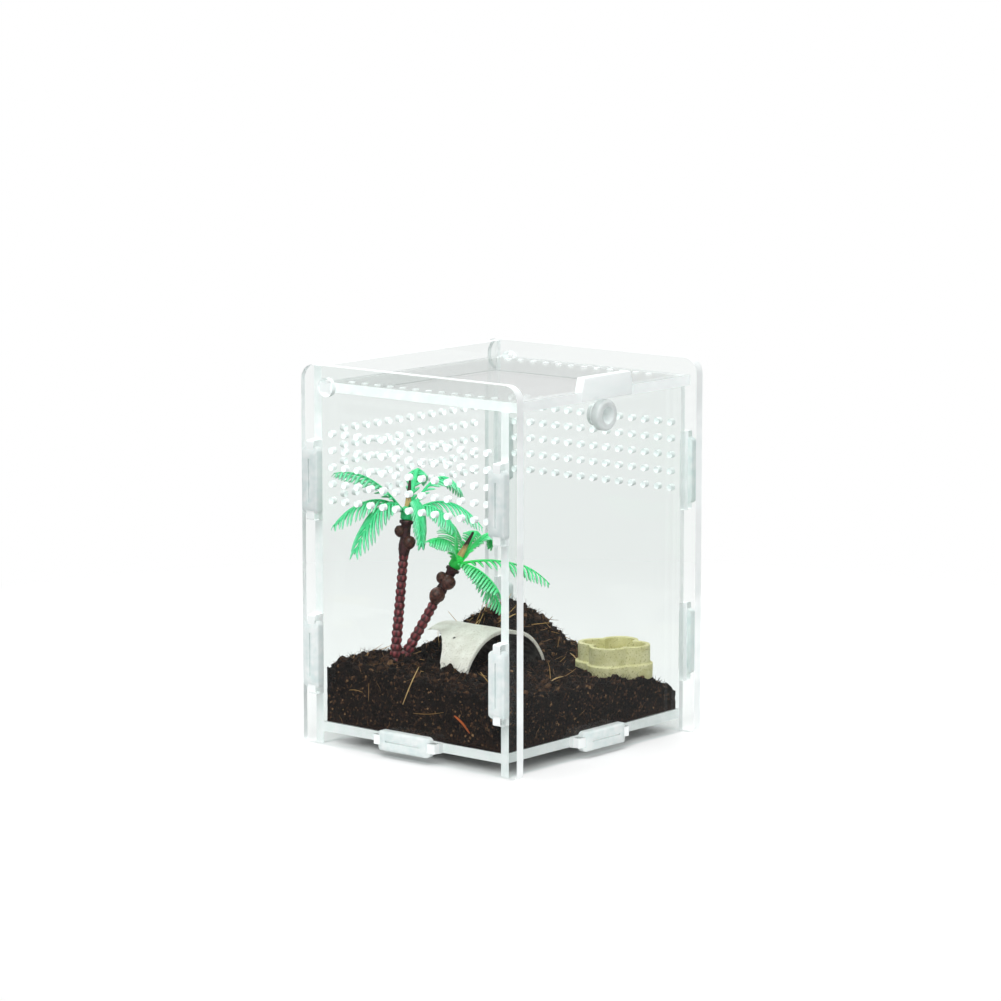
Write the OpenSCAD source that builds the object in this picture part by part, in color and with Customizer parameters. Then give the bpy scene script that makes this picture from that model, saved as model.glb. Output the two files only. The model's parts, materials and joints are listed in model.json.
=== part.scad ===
// Clear terrarium keeper for a jumping spider or a small gecko, built from flat sheet.
// Tabs on the front, back and floor panels pass through slots in the panels beside them, and a
// slit snap clip over each tab locks the joint. The lid turns on two tongues in round holes.
// Millimetres. +X is right, +Y is back, +Z is up. The origin lies on the table, in the middle.

/* [Sheet and case] */
// Thickness of every clear panel
sheet = 2.8; // [2.5:0.1:3.5]
// Clear width between the two side panels
inside_width = 78; // [74:1:90]
// Depth of a side panel, from front edge to back edge
side_depth = 80; // [78:1:90]
// Height of a side panel
side_height = 110; // [108:1:125]
// Radius of a side panel's upper corners
upper_corner_radius = 4.5; // [2:0.5:5]
// Radius of a side panel's lower corners
lower_corner_radius = 1.6; // [1:0.2:3]
// Step from the side panels' front edges back to the front panel
front_inset = 4.2; // [4:0.1:5]
// Step from the side panels' back edges forward to the back panel
back_inset = 3.6; // [3.4:0.1:4.5]
// Height of the floor panel's underside above the table
floor_height = 3.7; // [3:0.1:6]
// Depth of the lid's underside below the side panels' top edges
lid_recess = 7.6; // [6:0.2:10]
// How far the back panel's top edge stays below the side panels' top edges
back_drop = 0.4; // [0:0.1:1.5]

/* [Tabs and slots] */
// Length of a tab along its panel's edge
tab_length = 23; // [21:0.5:26]
// How far a tab stands out past the panel that it goes through
tab_reach = 2; // [1.8:0.1:2.4]
// Clearance on every side of a tab in its slot
slot_gap = 0.1; // [0.05:0.05:0.2]
// Height of the middle of the upper side joints
upper_joint_height = 77; // [70:1:84]
// Height of the middle of the lower side joints
lower_joint_height = 26.5; // [24:0.5:40]
// Length of the window in a tab that the clip's ribs snap into
window_length = 12.9; // [10:0.1:15]
// Width of that window
window_width = 0.9; // [0.8:0.1:1.1]
// Distance from the slotted panel's face to the window
window_step = 0.45; // [0.4:0.05:0.6]
// Radius of a tab's outer corners
tab_corner_radius = 0.6; // [0.3:0.1:1]

/* [Snap clips] */
// Length of a clip
clip_length = 19.4; // [17:0.2:20.8]
// Thickness of each jaw of a clip
clip_jaw = 1.4; // [1:0.1:1.5]
// Thickness of a clip's crown over the tab
clip_crown = 0.6; // [0.5:0.1:1]
// Clearance between a clip and its tab
clip_gap = 0.1; // [0.05:0.05:0.15]
// Radius of a clip's corners in plan
clip_corner_radius = 1.5; // [1:0.1:1.8]
// Radius along the long edges of the crown
clip_shoulder_radius = 0.9; // [0.5:0.1:1.2]
// Length of the sloped lead at each end of the crown
clip_lead = 2.2; // [1:0.1:3]
// Drop of that slope at the very end
clip_lead_drop = 1; // [0.5:0.1:1.4]
// Length of the slit in the crown
slit_length = 12.7; // [8:0.1:14]
// Width of the slit in the crown
slit_width = 0.45; // [0.3:0.05:0.8]
// Depth that a snap rib reaches into the tab's window
rib_depth = 0.5; // [0.3:0.1:0.8]

/* [Vents] */
// Diameter of a vent
vent_diameter = 1.9; // [1.5:0.1:2.4]
// Distance from vent to vent
vent_pitch = 4.8; // [4.4:0.1:5]
// Vents in one row of a side or back panel
vent_columns = 13; // [7:1:13]
// Rows of vents in a side or back panel
vent_rows = 5; // [2:1:6]
// Distance from the side panels' top edges down to the middle of the top row
vent_drop = 19.3; // [16:0.1:22]
// Vents along each side of the lid
lid_vents = 12; // [6:1:12]
// Distance from the lid's side edge to its vents
lid_vent_inset = 4.6; // [3.5:0.1:7]

/* [Lid] */
// Gap between the lid and each side panel
lid_side_gap = 0.4; // [0.3:0.1:0.8]
// How far the lid overhangs the front panel's face
lid_overhang = 2.6; // [2:0.1:3]
// Distance from the back panel's inner face to the hinge axis
hinge_inset = 2.8; // [2.7:0.1:4]
// Length of lid left behind the hinge axis
lid_tail = 2; // [1.4:0.1:2]
// Width of a hinge tongue, front to back
tongue_width = 4.4; // [3.6:0.1:5]
// Clearance between a tongue's corners and its round hole
hinge_gap = 0.1; // [0.05:0.01:0.1]
// Radius of the lid's front corners
lid_corner_radius = 0.8; // [0.4:0.1:1.5]
// Width of the lid pull where it sits in the lid's notch
pull_width = 23; // [18:0.5:30]
// How far each side of the pull slopes in above the lid
pull_taper = 1.1; // [0:0.1:3]
// Height of the pull above the lid's upper face
pull_rise = 4; // [3:0.1:4.6]
// Clearance on each side of the pull in its notch
pull_gap = 0.05; // [0.05:0.01:0.15]

/* [Feeding hole stopper] */
// Diameter of the stopper's collar
collar_diameter = 8.8; // [8:0.1:9.4]
// Thickness of the collar in front of the panel
collar_thickness = 2.8; // [2:0.1:3.5]
// Diameter of the plug in the panel's feeding hole
plug_diameter = 6.4; // [5.6:0.1:7]
// How far the plug reaches past the panel's inner face
plug_reach = 1.2; // [0.8:0.1:2]
// Clearance between the plug and the feeding hole
plug_gap = 0.05; // [0.03:0.01:0.1]
// Diameter of the stopper's hollow
hollow_diameter = 4.7; // [4:0.1:5]
// Thickness of the stopper's closed inner end
plug_end = 0.8; // [0.6:0.1:1.2]
// Gap between the collar and the lid's underside
collar_gap = 0.4; // [0.3:0.1:1]
// Radius round the collar's front edge
collar_round = 0.8; // [0.4:0.1:1]

/* [Soil] */
// Gap between the soil and the panels round it
soil_gap = 0.3; // [0.2:0.1:0.5]
// Depth of soil in the middle of the floor
soil_depth = 13.5; // [12:0.5:15]
// How much higher the soil lies at the back than at the front
soil_back_rise = 4; // [2:0.5:6]
// How much higher the soil lies at the left than at the right
soil_left_rise = 3.9; // [2:0.1:5]
// Height of the mound above the soil round it
mound_rise = 14; // [10:0.5:16]
// Half width of the mound, side to side
mound_spread_x = 11; // [9:0.5:13]
// Half width of the mound, front to back
mound_spread_y = 9; // [7:0.5:10]
// Distance of the mound's top to the right of the middle
mound_x = 24; // [20:0.5:28]
// Distance of the mound's top behind the middle
mound_y = 18; // [15:0.5:22]
// Height of the small rise that the palm stands in
palm_rise = 2.5; // [1:0.5:4]
// Half width of that rise
palm_rise_spread = 8; // [6:0.5:10]
// Depth of the dip in the front right corner
corner_dip = 3.5; // [1:0.5:4]
// Half width of that dip
corner_dip_spread = 9; // [6:0.5:10]
// Height of the clods between their dips
clod_rise = 2; // [1:0.1:2.5]
// Distance from one row of clods to the next
clod_pitch = 12; // [10:0.5:14]
// Number of steps across the soil's modelled surface
soil_steps = 24; // [16:1:28]

/* [Hide] */
// Outer radius of the arched hide
hide_radius = 18; // [16.5:0.1:18.5]
// Thickness of the hide's shell
hide_wall = 1.3; // [1:0.1:2]
// Length of the hide, front to back
hide_length = 22.4; // [18:0.2:23]
// Distance of the hide's mouth in front of the middle
hide_front = 0.7; // [0:0.1:3]
// Height of the hide's lower edges above the floor panel
hide_seat = 7.2; // [6:0.1:8]
// Height of the level ground inside the hide above its lower edges
hide_ground = 4.3; // [3:0.1:5]
// Length of the leg left beside the mouth
hide_leg = 10.4; // [7:0.1:11]
// Radius of the side doorway's arch
doorway_radius = 9.6; // [8:0.1:10]
// Height of the middle of that arch above the hide's lower edges
doorway_height = 7; // [5:0.1:8]
// Clearance between the hide and the soil packed round it
hide_gap = 0.1; // [0.05:0.05:0.3]

/* [Water dish] */
// Radius of the ring on which the dish's lobes are centred
dish_lobe_offset = 5.2; // [4:0.1:6]
// Outer radius of a lobe
dish_lobe_radius = 5.6; // [5:0.1:6]
// Number of lobes
dish_lobes = 4; // [3:1:5]
// Thickness of the dish's wall
dish_wall = 1.4; // [1:0.1:2]
// Height of the dish
dish_height = 9.8; // [8:0.1:11]
// Height of the dish's wider foot
foot_height = 4.4; // [3:0.1:6]
// How far the foot stands out past the wall
foot_step = 0.8; // [0.5:0.1:1]
// Thickness of the dish's bottom
dish_bottom = 2.4; // [1.5:0.1:4]
// Distance of the dish to the right of the middle
dish_x = 26.6; // [24:0.1:27]
// Distance of the dish in front of the middle
dish_y = 18.5; // [17:0.1:20]
// Turn of the dish's lobes
dish_turn = 20; // [0:1:89]
// Height of the dish's underside above the floor panel
dish_seat = 10; // [8.5:0.1:10.5]

/* [Twin palm] */
// Radius of the flat foot under the trunks
palm_foot_radius = 5; // [4.5:0.1:6]
// Thickness of that foot
palm_foot_thickness = 2; // [1.5:0.1:3]
// Height of the foot's underside above the floor panel
palm_seat = 15; // [13:0.5:16]
// Distance of the palm's foot to the left of the middle
palm_x = 22.7; // [18:0.1:24]
// Distance of the palm's foot in front of the back panel
palm_to_back = 14; // [12:0.1:16]
// Clearance between the palm and the soil packed round it
palm_gap = 0.15; // [0.1:0.05:0.3]
// Radius of a trunk at its foot
trunk_radius = 1.4; // [1.3:0.1:1.8]
// Radius of a trunk under its crown
trunk_top_radius = 1.2; // [1.1:0.1:1.5]
// How much each ring of a trunk flares
trunk_flare = 0.25; // [0.1:0.05:0.5]
// Length of one ring of a trunk
trunk_ring = 2; // [1.6:0.1:2.6]
// Radius of a coconut
coconut_radius = 2; // [1.8:0.1:2.3]
// Height of the tall palm's crown seat above the foot's underside
tall_height = 42.5; // [38:0.5:48]
// Sideways lean of the tall palm's trunk
tall_lean_x = 5.5; // [3:0.5:7]
// Height of the short palm's crown seat above the foot's underside
short_height = 28.5; // [25:0.5:33]
// Sideways lean of the short palm's trunk
short_lean_x = 12.5; // [10:0.5:14]
// Forward lean of the short palm's trunk
short_lean_y = 9.5; // [7:0.5:11]
// Radius of the peg that carries a crown
peg_radius = 1; // [0.7:0.1:1.2]
// Radius of the peg's blunt tip
peg_tip_radius = 0.3; // [0.2:0.1:0.5]
// Length of that peg
peg_length = 12; // [9:0.5:13]
// Clearance between the peg and its crown's bore
peg_gap = 0.1; // [0.05:0.05:0.2]
// Radius of a crown's hub
hub_radius = 2.1; // [1.8:0.1:2.4]
// Height of a crown's hub
hub_height = 4; // [3:0.1:5]

/* [Palm fronds] */
// Reach of a frond from the hub, measured level
frond_reach = 19; // [15:0.5:20]
// Half width of a frond at its widest
frond_half_width = 5; // [4:0.5:7]
// Leaflets on each side of a frond
leaflets = 11; // [7:1:13]
// How far a leaflet's tip points on along the frond
leaflet_sweep = 4; // [3:0.5:6]
// How far a leaflet's tip hangs below the rib
leaflet_droop = 3; // [2:0.5:5]
// Thickness of a frond
frond_thickness = 0.7; // [0.6:0.1:1]
// Half width of a frond's rib
frond_rib = 0.6; // [0.5:0.1:0.8]

/* [Hidden] */
$fn = 48;

inner_x = inside_width / 2;
outer_x = inner_x + sheet;
front_face_y = -side_depth / 2 + front_inset;
front_inner_y = front_face_y + sheet;
back_face_y = side_depth / 2 - back_inset;
back_inner_y = back_face_y - sheet;
front_middle_y = front_face_y + sheet / 2;
back_middle_y = back_face_y - sheet / 2;
floor_middle_z = floor_height + sheet / 2;
floor_top_z = floor_height + sheet;
back_height = side_height - back_drop;
joint_heights = [upper_joint_height, lower_joint_height];

lid_bottom_z = side_height - lid_recess;
lid_top_z = lid_bottom_z + sheet;
lid_half_width = inner_x - lid_side_gap;
lid_front_y = front_face_y - lid_overhang;
hinge_y = back_inner_y - hinge_inset;
palm_y = back_inner_y - palm_to_back;
hinge_z = lid_bottom_z + sheet / 2;
lid_back_y = hinge_y + lid_tail;
hinge_hole_radius = sqrt(pow(tongue_width / 2, 2) + pow(sheet / 2, 2)) + hinge_gap;

stopper_z = lid_bottom_z - collar_gap - collar_diameter / 2;

clip_depth = tab_reach + clip_gap;
clip_height = clip_depth + clip_crown;
clip_width = sheet + 2 * clip_gap + 2 * clip_jaw;
rib_margin = 0.1;

// The soil's surface is a sloping plane with a mound, a rise, a dip and clods added to it.
soil_half_width = inner_x - soil_gap;
soil_front_y = front_inner_y + soil_gap;
soil_back_y = back_inner_y - soil_gap;
function bell(dx, dy, spread_x, spread_y) =
    exp(-(dx * dx) / (2 * spread_x * spread_x) - (dy * dy) / (2 * spread_y * spread_y));
function clods(x, y) = clod_rise / 2
    * sin(360 * (x + y / 2) / clod_pitch) * sin(360 * (y - x / 3) / clod_pitch);
function soil_top(x, y) = floor_top_z + soil_depth
    + soil_back_rise * y / side_depth
    - soil_left_rise * x / inside_width
    + mound_rise * bell(x - mound_x, y - mound_y, mound_spread_x, mound_spread_y)
    + palm_rise * bell(x + palm_x, y - palm_y, palm_rise_spread, palm_rise_spread)
    - corner_dip * bell(x - soil_half_width, y - soil_front_y,
        corner_dip_spread, corner_dip_spread)
    + clods(x, y);

hide_bottom_z = floor_top_z + hide_seat;
hide_front_y = -hide_front;
dish_bottom_z = floor_top_z + dish_seat;
palm_bottom_z = floor_top_z + palm_seat;
palm_top_z = palm_bottom_z + palm_foot_thickness;
palm_sink = palm_foot_thickness / 2;

// The two trunks lean away from each other out of one foot.
trunk_spacing = 0.8;
neck_length = 4.5 * coconut_radius;
collar_height = trunk_ring / 2;
coconut_offset = trunk_top_radius + coconut_radius / 4;
tall_foot = [-palm_x - trunk_spacing, palm_y + trunk_spacing / 2, palm_top_z - palm_sink];
short_foot = [-palm_x + trunk_spacing, palm_y - trunk_spacing / 2, palm_top_z - palm_sink];
tall_rise = [tall_lean_x, 0, palm_bottom_z + tall_height - tall_foot[2]];
short_rise = [short_lean_x, -short_lean_y, palm_bottom_z + short_height - short_foot[2]];
function tilt_of(d) = atan2(sqrt(d[0] * d[0] + d[1] * d[1]), d[2]);
function turn_of(d) = atan2(d[1], d[0]);

// Each coconut: direction, and as shares of the coconut radius its depth under the crown's
// seat and its own radius.
tall_nuts = [[140, 1.6, 0.85], [270, 3.1, 1], [40, 4.2, 0.9]];
short_nuts = [[140, 1.95, 0.85], [245, 2.1, 1.1], [205, 4.5, 1.2]];

// Each frond: direction, and as shares of the full reach its own reach, the rise at its root
// and the sag at its tip.
tall_fronds = [[153, 1.16, 1.34, 0.8], [151, 1.08, 0.88, 1.12], [172, 0.91, 0.94, 1.54],
    [27, 0.61, 2.06, 1.6], [331, 0.79, 1.91, 1.56], [312, 1.08, 0.97, 1.08],
    [251, 0.44, 1.22, 1.64], [278, 0.79, 0.71, 0.87]];
short_fronds = [[311, 1.24, 1.1, 0.76], [263, 1.01, 0.32, 0.38], [285, 0.97, 0.2, 0.5],
    [348, 0.39, 1.87, 1.43], [32, 0.68, 1.37, 0.88], [56, 0.94, 0.62, 0.19],
    [178, 0.73, 0.8, 0.7]];

// Pieces of sheet, drawn flat.

module rounded_outline(width, height, top_radius, bottom_radius) {
    translate([-width / 2, bottom_radius])
        square([width, height - top_radius - bottom_radius]);
    translate([-width / 2 + top_radius, height / 2])
        square([width - 2 * top_radius, height / 2]);
    translate([-width / 2 + bottom_radius, 0])
        square([width - 2 * bottom_radius, height / 2]);
    for (side = [-1, 1]) {
        translate([side * (width / 2 - top_radius), height - top_radius])
            circle(r = top_radius);
        translate([side * (width / 2 - bottom_radius), bottom_radius])
            circle(r = bottom_radius);
    }
}

module vent_grid() {
    for (column = [0 : vent_columns - 1])
        for (row = [0 : vent_rows - 1])
            translate([(column - (vent_columns - 1) / 2) * vent_pitch,
                side_height - vent_drop - row * vent_pitch])
                circle(d = vent_diameter);
}

// A slot for a tab, with its long side along the second axis.
module upright_slot() {
    square([sheet + 2 * slot_gap, tab_length + 2 * slot_gap], center = true);
}

module level_slot() {
    square([tab_length + 2 * slot_gap, sheet + 2 * slot_gap], center = true);
}

// A tab that leaves its panel's edge along the first axis, with the window for its clip.
module tab() {
    reach = sheet + tab_reach;
    difference() {
        union() {
            translate([-1, -tab_length / 2])
                square([reach + 1 - tab_corner_radius, tab_length]);
            translate([0, -tab_length / 2 + tab_corner_radius])
                square([reach, tab_length - 2 * tab_corner_radius]);
            for (end = [-1, 1])
                translate([reach - tab_corner_radius, end * (tab_length / 2 - tab_corner_radius)])
                    circle(r = tab_corner_radius);
        }
        translate([sheet + window_step, -window_length / 2])
            square([window_width, window_length]);
    }
}

// Stands a flat outline up: its first axis runs along Y and its thickness along X.
module stand_along_y(x) {
    translate([x, 0, 0])
        rotate([90, 0, 90])
            linear_extrude(sheet)
                children();
}

// Stands a flat outline up: its first axis runs along X and its thickness along Y.
module stand_along_x(y) {
    translate([0, y + sheet, 0])
        rotate([90, 0, 0])
            linear_extrude(sheet)
                children();
}

module side_outline() {
    difference() {
        rounded_outline(side_depth, side_height, upper_corner_radius, lower_corner_radius);
        vent_grid();
        for (height = joint_heights, y = [front_middle_y, back_middle_y])
            translate([y, height])
                upright_slot();
        translate([0, floor_middle_z])
            level_slot();
        translate([hinge_y, hinge_z])
            circle(r = hinge_hole_radius);
    }
}

// A front or back panel before it gets its own holes, with its four side tabs.
module cross_outline(height) {
    difference() {
        union() {
            translate([-inner_x, 0])
                square([inside_width, height]);
            for (joint_height = joint_heights, side = [0, 1])
                mirror([side, 0])
                    translate([inner_x, joint_height])
                        tab();
        }
        translate([0, floor_middle_z])
            level_slot();
    }
}

module left_side_panel() {
    color([0.86, 0.95, 0.96, 0.45])
        stand_along_y(-outer_x)
            side_outline();
}

module right_side_panel() {
    color([0.86, 0.95, 0.96, 0.45])
        stand_along_y(inner_x)
            side_outline();
}

module front_panel() {
    color([0.84, 0.94, 0.95, 0.45])
        stand_along_x(front_face_y)
            difference() {
                cross_outline(lid_bottom_z);
                translate([0, stopper_z])
                    circle(r = plug_diameter / 2 + plug_gap);
            }
}

module back_panel() {
    color([0.84, 0.94, 0.95, 0.45])
        stand_along_x(back_inner_y)
            difference() {
                cross_outline(back_height);
                vent_grid();
            }
}

module floor_panel() {
    color([0.82, 0.93, 0.94, 0.45])
        translate([0, 0, floor_height])
            linear_extrude(sheet) {
                translate([-inner_x, front_inner_y])
                    square([inside_width, back_inner_y - front_inner_y]);
                for (side = [0, 1])
                    mirror([side, 0])
                        translate([inner_x, 0])
                            tab();
                translate([0, back_inner_y])
                    rotate(90)
                        tab();
                translate([0, front_inner_y])
                    rotate(-90)
                        tab();
            }
}

// The lid and what it carries.

module lid_outline() {
    difference() {
        union() {
            translate([-lid_half_width, lid_front_y + lid_corner_radius])
                square([2 * lid_half_width, lid_back_y - lid_front_y - lid_corner_radius]);
            translate([-lid_half_width + lid_corner_radius, lid_front_y])
                square([2 * (lid_half_width - lid_corner_radius), 2 * lid_corner_radius]);
            for (side = [-1, 1])
                translate([side * (lid_half_width - lid_corner_radius),
                    lid_front_y + lid_corner_radius])
                    circle(r = lid_corner_radius);
            translate([-outer_x, hinge_y - tongue_width / 2])
                square([2 * outer_x, min(tongue_width, tongue_width / 2 + lid_tail)]);
        }
        translate([-pull_width / 2 - pull_gap, lid_front_y - 1])
            square([pull_width + 2 * pull_gap, sheet + 1]);
        for (vent = [0 : lid_vents - 1], side = [-1, 1])
            translate([side * (lid_half_width - lid_vent_inset),
                (vent - (lid_vents - 1) / 2) * vent_pitch])
                circle(d = vent_diameter);
    }
}

module lid_panel() {
    color([0.88, 0.96, 0.94, 0.45])
        translate([0, 0, lid_bottom_z])
            linear_extrude(sheet)
                lid_outline();
}

module lid_pull() {
    half = pull_width / 2;
    color([0.94, 0.97, 0.98, 0.8])
        translate([0, lid_front_y + sheet, lid_bottom_z])
            rotate([90, 0, 0])
                linear_extrude(sheet)
                    polygon([[-half, 0], [half, 0], [half, sheet],
                        [half - pull_taper, sheet + pull_rise],
                        [-half + pull_taper, sheet + pull_rise], [-half, sheet]]);
}

// The stopper is one turned profile: a collar, and a hollow plug with a closed inner end.
module feeding_stopper() {
    plug_length = sheet + plug_reach;
    collar_radius = collar_diameter / 2;
    color([0.93, 0.97, 0.97, 0.7])
        translate([0, front_face_y, stopper_z])
            rotate([-90, 0, 0])
                rotate_extrude()
                    difference() {
                        union() {
                            translate([0, -collar_thickness + collar_round])
                                square([collar_radius, collar_thickness - collar_round]);
                            translate([0, -collar_thickness])
                                square([collar_radius - collar_round, collar_thickness]);
                            translate([collar_radius - collar_round,
                                -collar_thickness + collar_round])
                                circle(r = collar_round);
                            square([plug_diameter / 2, plug_length]);
                        }
                        translate([-collar_diameter, -collar_thickness - 1])
                            square([collar_diameter, collar_thickness + plug_length + 2]);
                        translate([0, -collar_thickness - 1])
                            square([hollow_diameter / 2,
                                collar_thickness + plug_length - plug_end + 1]);
                    }
}

// A snap clip: its length along X, its feet on z = 0, its crown upwards.
module clip_end_view() {
    translate([-clip_width / 2, 0])
        square([clip_width, clip_height - clip_shoulder_radius]);
    translate([-clip_width / 2 + clip_shoulder_radius, 0])
        square([clip_width - 2 * clip_shoulder_radius, clip_height]);
    for (side = [-1, 1])
        translate([side * (clip_width / 2 - clip_shoulder_radius),
            clip_height - clip_shoulder_radius])
            circle(r = clip_shoulder_radius);
}

module clip_side_view() {
    half = clip_length / 2;
    polygon([[-half, 0], [half, 0], [half, clip_height - clip_lead_drop],
        [half - clip_lead, clip_height], [-half + clip_lead, clip_height],
        [-half, clip_height - clip_lead_drop]]);
}

module snap_clip() {
    channel = sheet + 2 * clip_gap;
    rib_z = window_step + rib_margin;
    rib_y = channel / 2 - clip_gap - rib_depth;
    difference() {
        intersection() {
            linear_extrude(clip_height)
                translate([0, -clip_width / 2])
                    rounded_outline(clip_length, clip_width, clip_corner_radius,
                        clip_corner_radius);
            rotate([90, 0, 0])
                translate([0, 0, -clip_width / 2])
                    linear_extrude(clip_width)
                        clip_side_view();
            rotate([90, 0, 90])
                translate([0, 0, -clip_length / 2])
                    linear_extrude(clip_length)
                        clip_end_view();
        }
        translate([-clip_length / 2 - 1, -channel / 2, -1])
            cube([clip_length + 2, channel, clip_depth + 1]);
        translate([-slit_length / 2, -slit_width / 2, 0])
            cube([slit_length, slit_width, clip_height + 1]);
    }
    for (side = [0, 1])
        mirror([0, side, 0])
            translate([-window_length / 2 + rib_margin, rib_y, rib_z])
                cube([window_length - 2 * rib_margin, rib_depth + clip_gap + clip_jaw / 2,
                    window_width - 2 * rib_margin]);
}

// Puts a clip on a side panel, over an upright joint. side is -1 for left, 1 for right.
module upright_clip(side, y, z) {
    color([0.88, 0.94, 0.94, 0.9])
        translate([side * outer_x, y, z])
            rotate([0, side * 90, 0])
                snap_clip();
}

// Puts a clip over one of the floor panel's four tabs. turn is 0 at the front.
module floor_clip(turn, distance) {
    color([0.88, 0.94, 0.94, 0.9])
        translate([0, 0, floor_middle_z])
            rotate([0, 0, turn])
                translate([0, -distance, 0])
                    rotate([90, 0, 0])
                        snap_clip();
}

module left_front_upper_clip() { upright_clip(-1, front_middle_y, upper_joint_height); }
module left_front_lower_clip() { upright_clip(-1, front_middle_y, lower_joint_height); }
module left_back_upper_clip() { upright_clip(-1, back_middle_y, upper_joint_height); }
module left_back_lower_clip() { upright_clip(-1, back_middle_y, lower_joint_height); }
module right_front_upper_clip() { upright_clip(1, front_middle_y, upper_joint_height); }
module right_front_lower_clip() { upright_clip(1, front_middle_y, lower_joint_height); }
module right_back_upper_clip() { upright_clip(1, back_middle_y, upper_joint_height); }
module right_back_lower_clip() { upright_clip(1, back_middle_y, lower_joint_height); }
module floor_front_clip() { floor_clip(0, -front_face_y); }
module floor_right_clip() { floor_clip(90, outer_x); }
module floor_back_clip() { floor_clip(180, back_face_y); }
module floor_left_clip() { floor_clip(270, outer_x); }

// What is inside.

module arch_bar(radius, start_y, length) {
    translate([0, start_y, hide_bottom_z])
        rotate([-90, 0, 0])
            cylinder(h = length, r = radius);
}

// A half round shell, open at both ends, with an arched doorway in its left wall.
module arched_hide() {
    color([0.89, 0.88, 0.83])
        difference() {
            arch_bar(hide_radius, hide_front_y, hide_length);
            arch_bar(hide_radius - hide_wall, hide_front_y - 1, hide_length + 2);
            translate([-hide_radius - 1, hide_front_y - 1, hide_bottom_z - hide_radius - 1])
                cube([2 * hide_radius + 2, hide_length + 2, hide_radius + 1]);
            translate([-hide_radius - 1, hide_front_y + hide_leg + doorway_radius,
                hide_bottom_z + doorway_height])
                rotate([0, 90, 0])
                    cylinder(h = hide_radius + 1, r = doorway_radius);
            translate([-hide_radius - 1, hide_front_y + hide_leg, hide_bottom_z - 1])
                cube([hide_radius + 1, hide_length, doorway_height + 1]);
        }
}

// The room that the hide takes in the soil: its shell's two edges, and the cave over them.
module hide_room() {
    outer = hide_radius + hide_gap;
    start_y = hide_front_y - hide_gap;
    length = hide_length + 2 * hide_gap;
    ground_z = hide_bottom_z + hide_ground;
    intersection() {
        arch_bar(outer, start_y, length);
        translate([-outer, start_y, ground_z])
            cube([2 * outer, length, outer]);
    }
    difference() {
        arch_bar(outer, start_y, length);
        arch_bar(hide_radius - hide_wall - hide_gap, start_y - 1, length + 2);
        translate([-outer - 1, start_y - 1, hide_bottom_z - outer - 1])
            cube([2 * outer + 2, length + 2, outer + 1]);
        translate([-outer - 1, start_y + hide_leg + 2 * hide_gap, hide_bottom_z - 1])
            cube([outer + 1, length, outer]);
        translate([-outer - 1, start_y - 1, ground_z + 1])
            cube([2 * outer + 2, length + 2, outer]);
    }
}

module lobed_outline(extra) {
    rotate(dish_turn) {
        circle(r = dish_lobe_offset);
        for (lobe = [0 : dish_lobes - 1])
            rotate(lobe * 360 / dish_lobes)
                translate([dish_lobe_offset, 0])
                    circle(r = dish_lobe_radius + extra);
    }
}

module water_dish() {
    color([0.85, 0.84, 0.65])
        translate([dish_x, -dish_y, dish_bottom_z]) {
            difference() {
                linear_extrude(dish_height)
                    lobed_outline(0);
                translate([0, 0, dish_bottom])
                    linear_extrude(dish_height)
                        lobed_outline(-dish_wall);
            }
            difference() {
                linear_extrude(foot_height)
                    lobed_outline(foot_step);
                translate([0, 0, -1])
                    linear_extrude(foot_height + 2)
                        lobed_outline(-dish_wall / 2);
            }
        }
}

module soil_block() {
    steps = soil_steps;
    top_points = [for (i = [0 : steps], j = [0 : steps])
        let (x = soil_half_width * (2 * i / steps - 1),
            y = soil_front_y + (soil_back_y - soil_front_y) * j / steps)
        [x, y, soil_top(x, y)]];
    corner_points = [[-soil_half_width, soil_front_y, floor_top_z],
        [soil_half_width, soil_front_y, floor_top_z],
        [soil_half_width, soil_back_y, floor_top_z],
        [-soil_half_width, soil_back_y, floor_top_z]];
    row = steps + 1;
    first_corner = row * row;
    top_faces = [for (i = [0 : steps - 1], j = [0 : steps - 1], half = [0, 1])
        half == 0
            ? [i * row + j, i * row + j + 1, (i + 1) * row + j + 1]
            : [i * row + j, (i + 1) * row + j + 1, (i + 1) * row + j]];
    front_face = [for (i = [0 : steps]) i * row];
    right_face = [for (j = [0 : steps]) steps * row + j];
    back_face = [for (i = [steps : -1 : 0]) i * row + steps];
    left_face = [for (j = [steps : -1 : 0]) j];
    faces = concat(top_faces, [
        [for (corner = [0 : 3]) first_corner + corner],
        concat([first_corner], front_face, [first_corner + 1]),
        concat([first_corner + 1], right_face, [first_corner + 2]),
        concat([first_corner + 2], back_face, [first_corner + 3]),
        concat([first_corner + 3], left_face, [first_corner])]);
    polyhedron(points = concat(top_points, corner_points), faces = faces);
}

module soil_bed() {
    color([0.2, 0.14, 0.1])
        difference() {
            soil_block();
            hide_room();
            translate([dish_x, -dish_y, dish_bottom_z])
                linear_extrude(side_height)
                    lobed_outline(foot_step + hide_gap);
            translate([-palm_x, palm_y, palm_bottom_z])
                cylinder(h = side_height, r = palm_foot_radius + palm_gap);
        }
}

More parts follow.
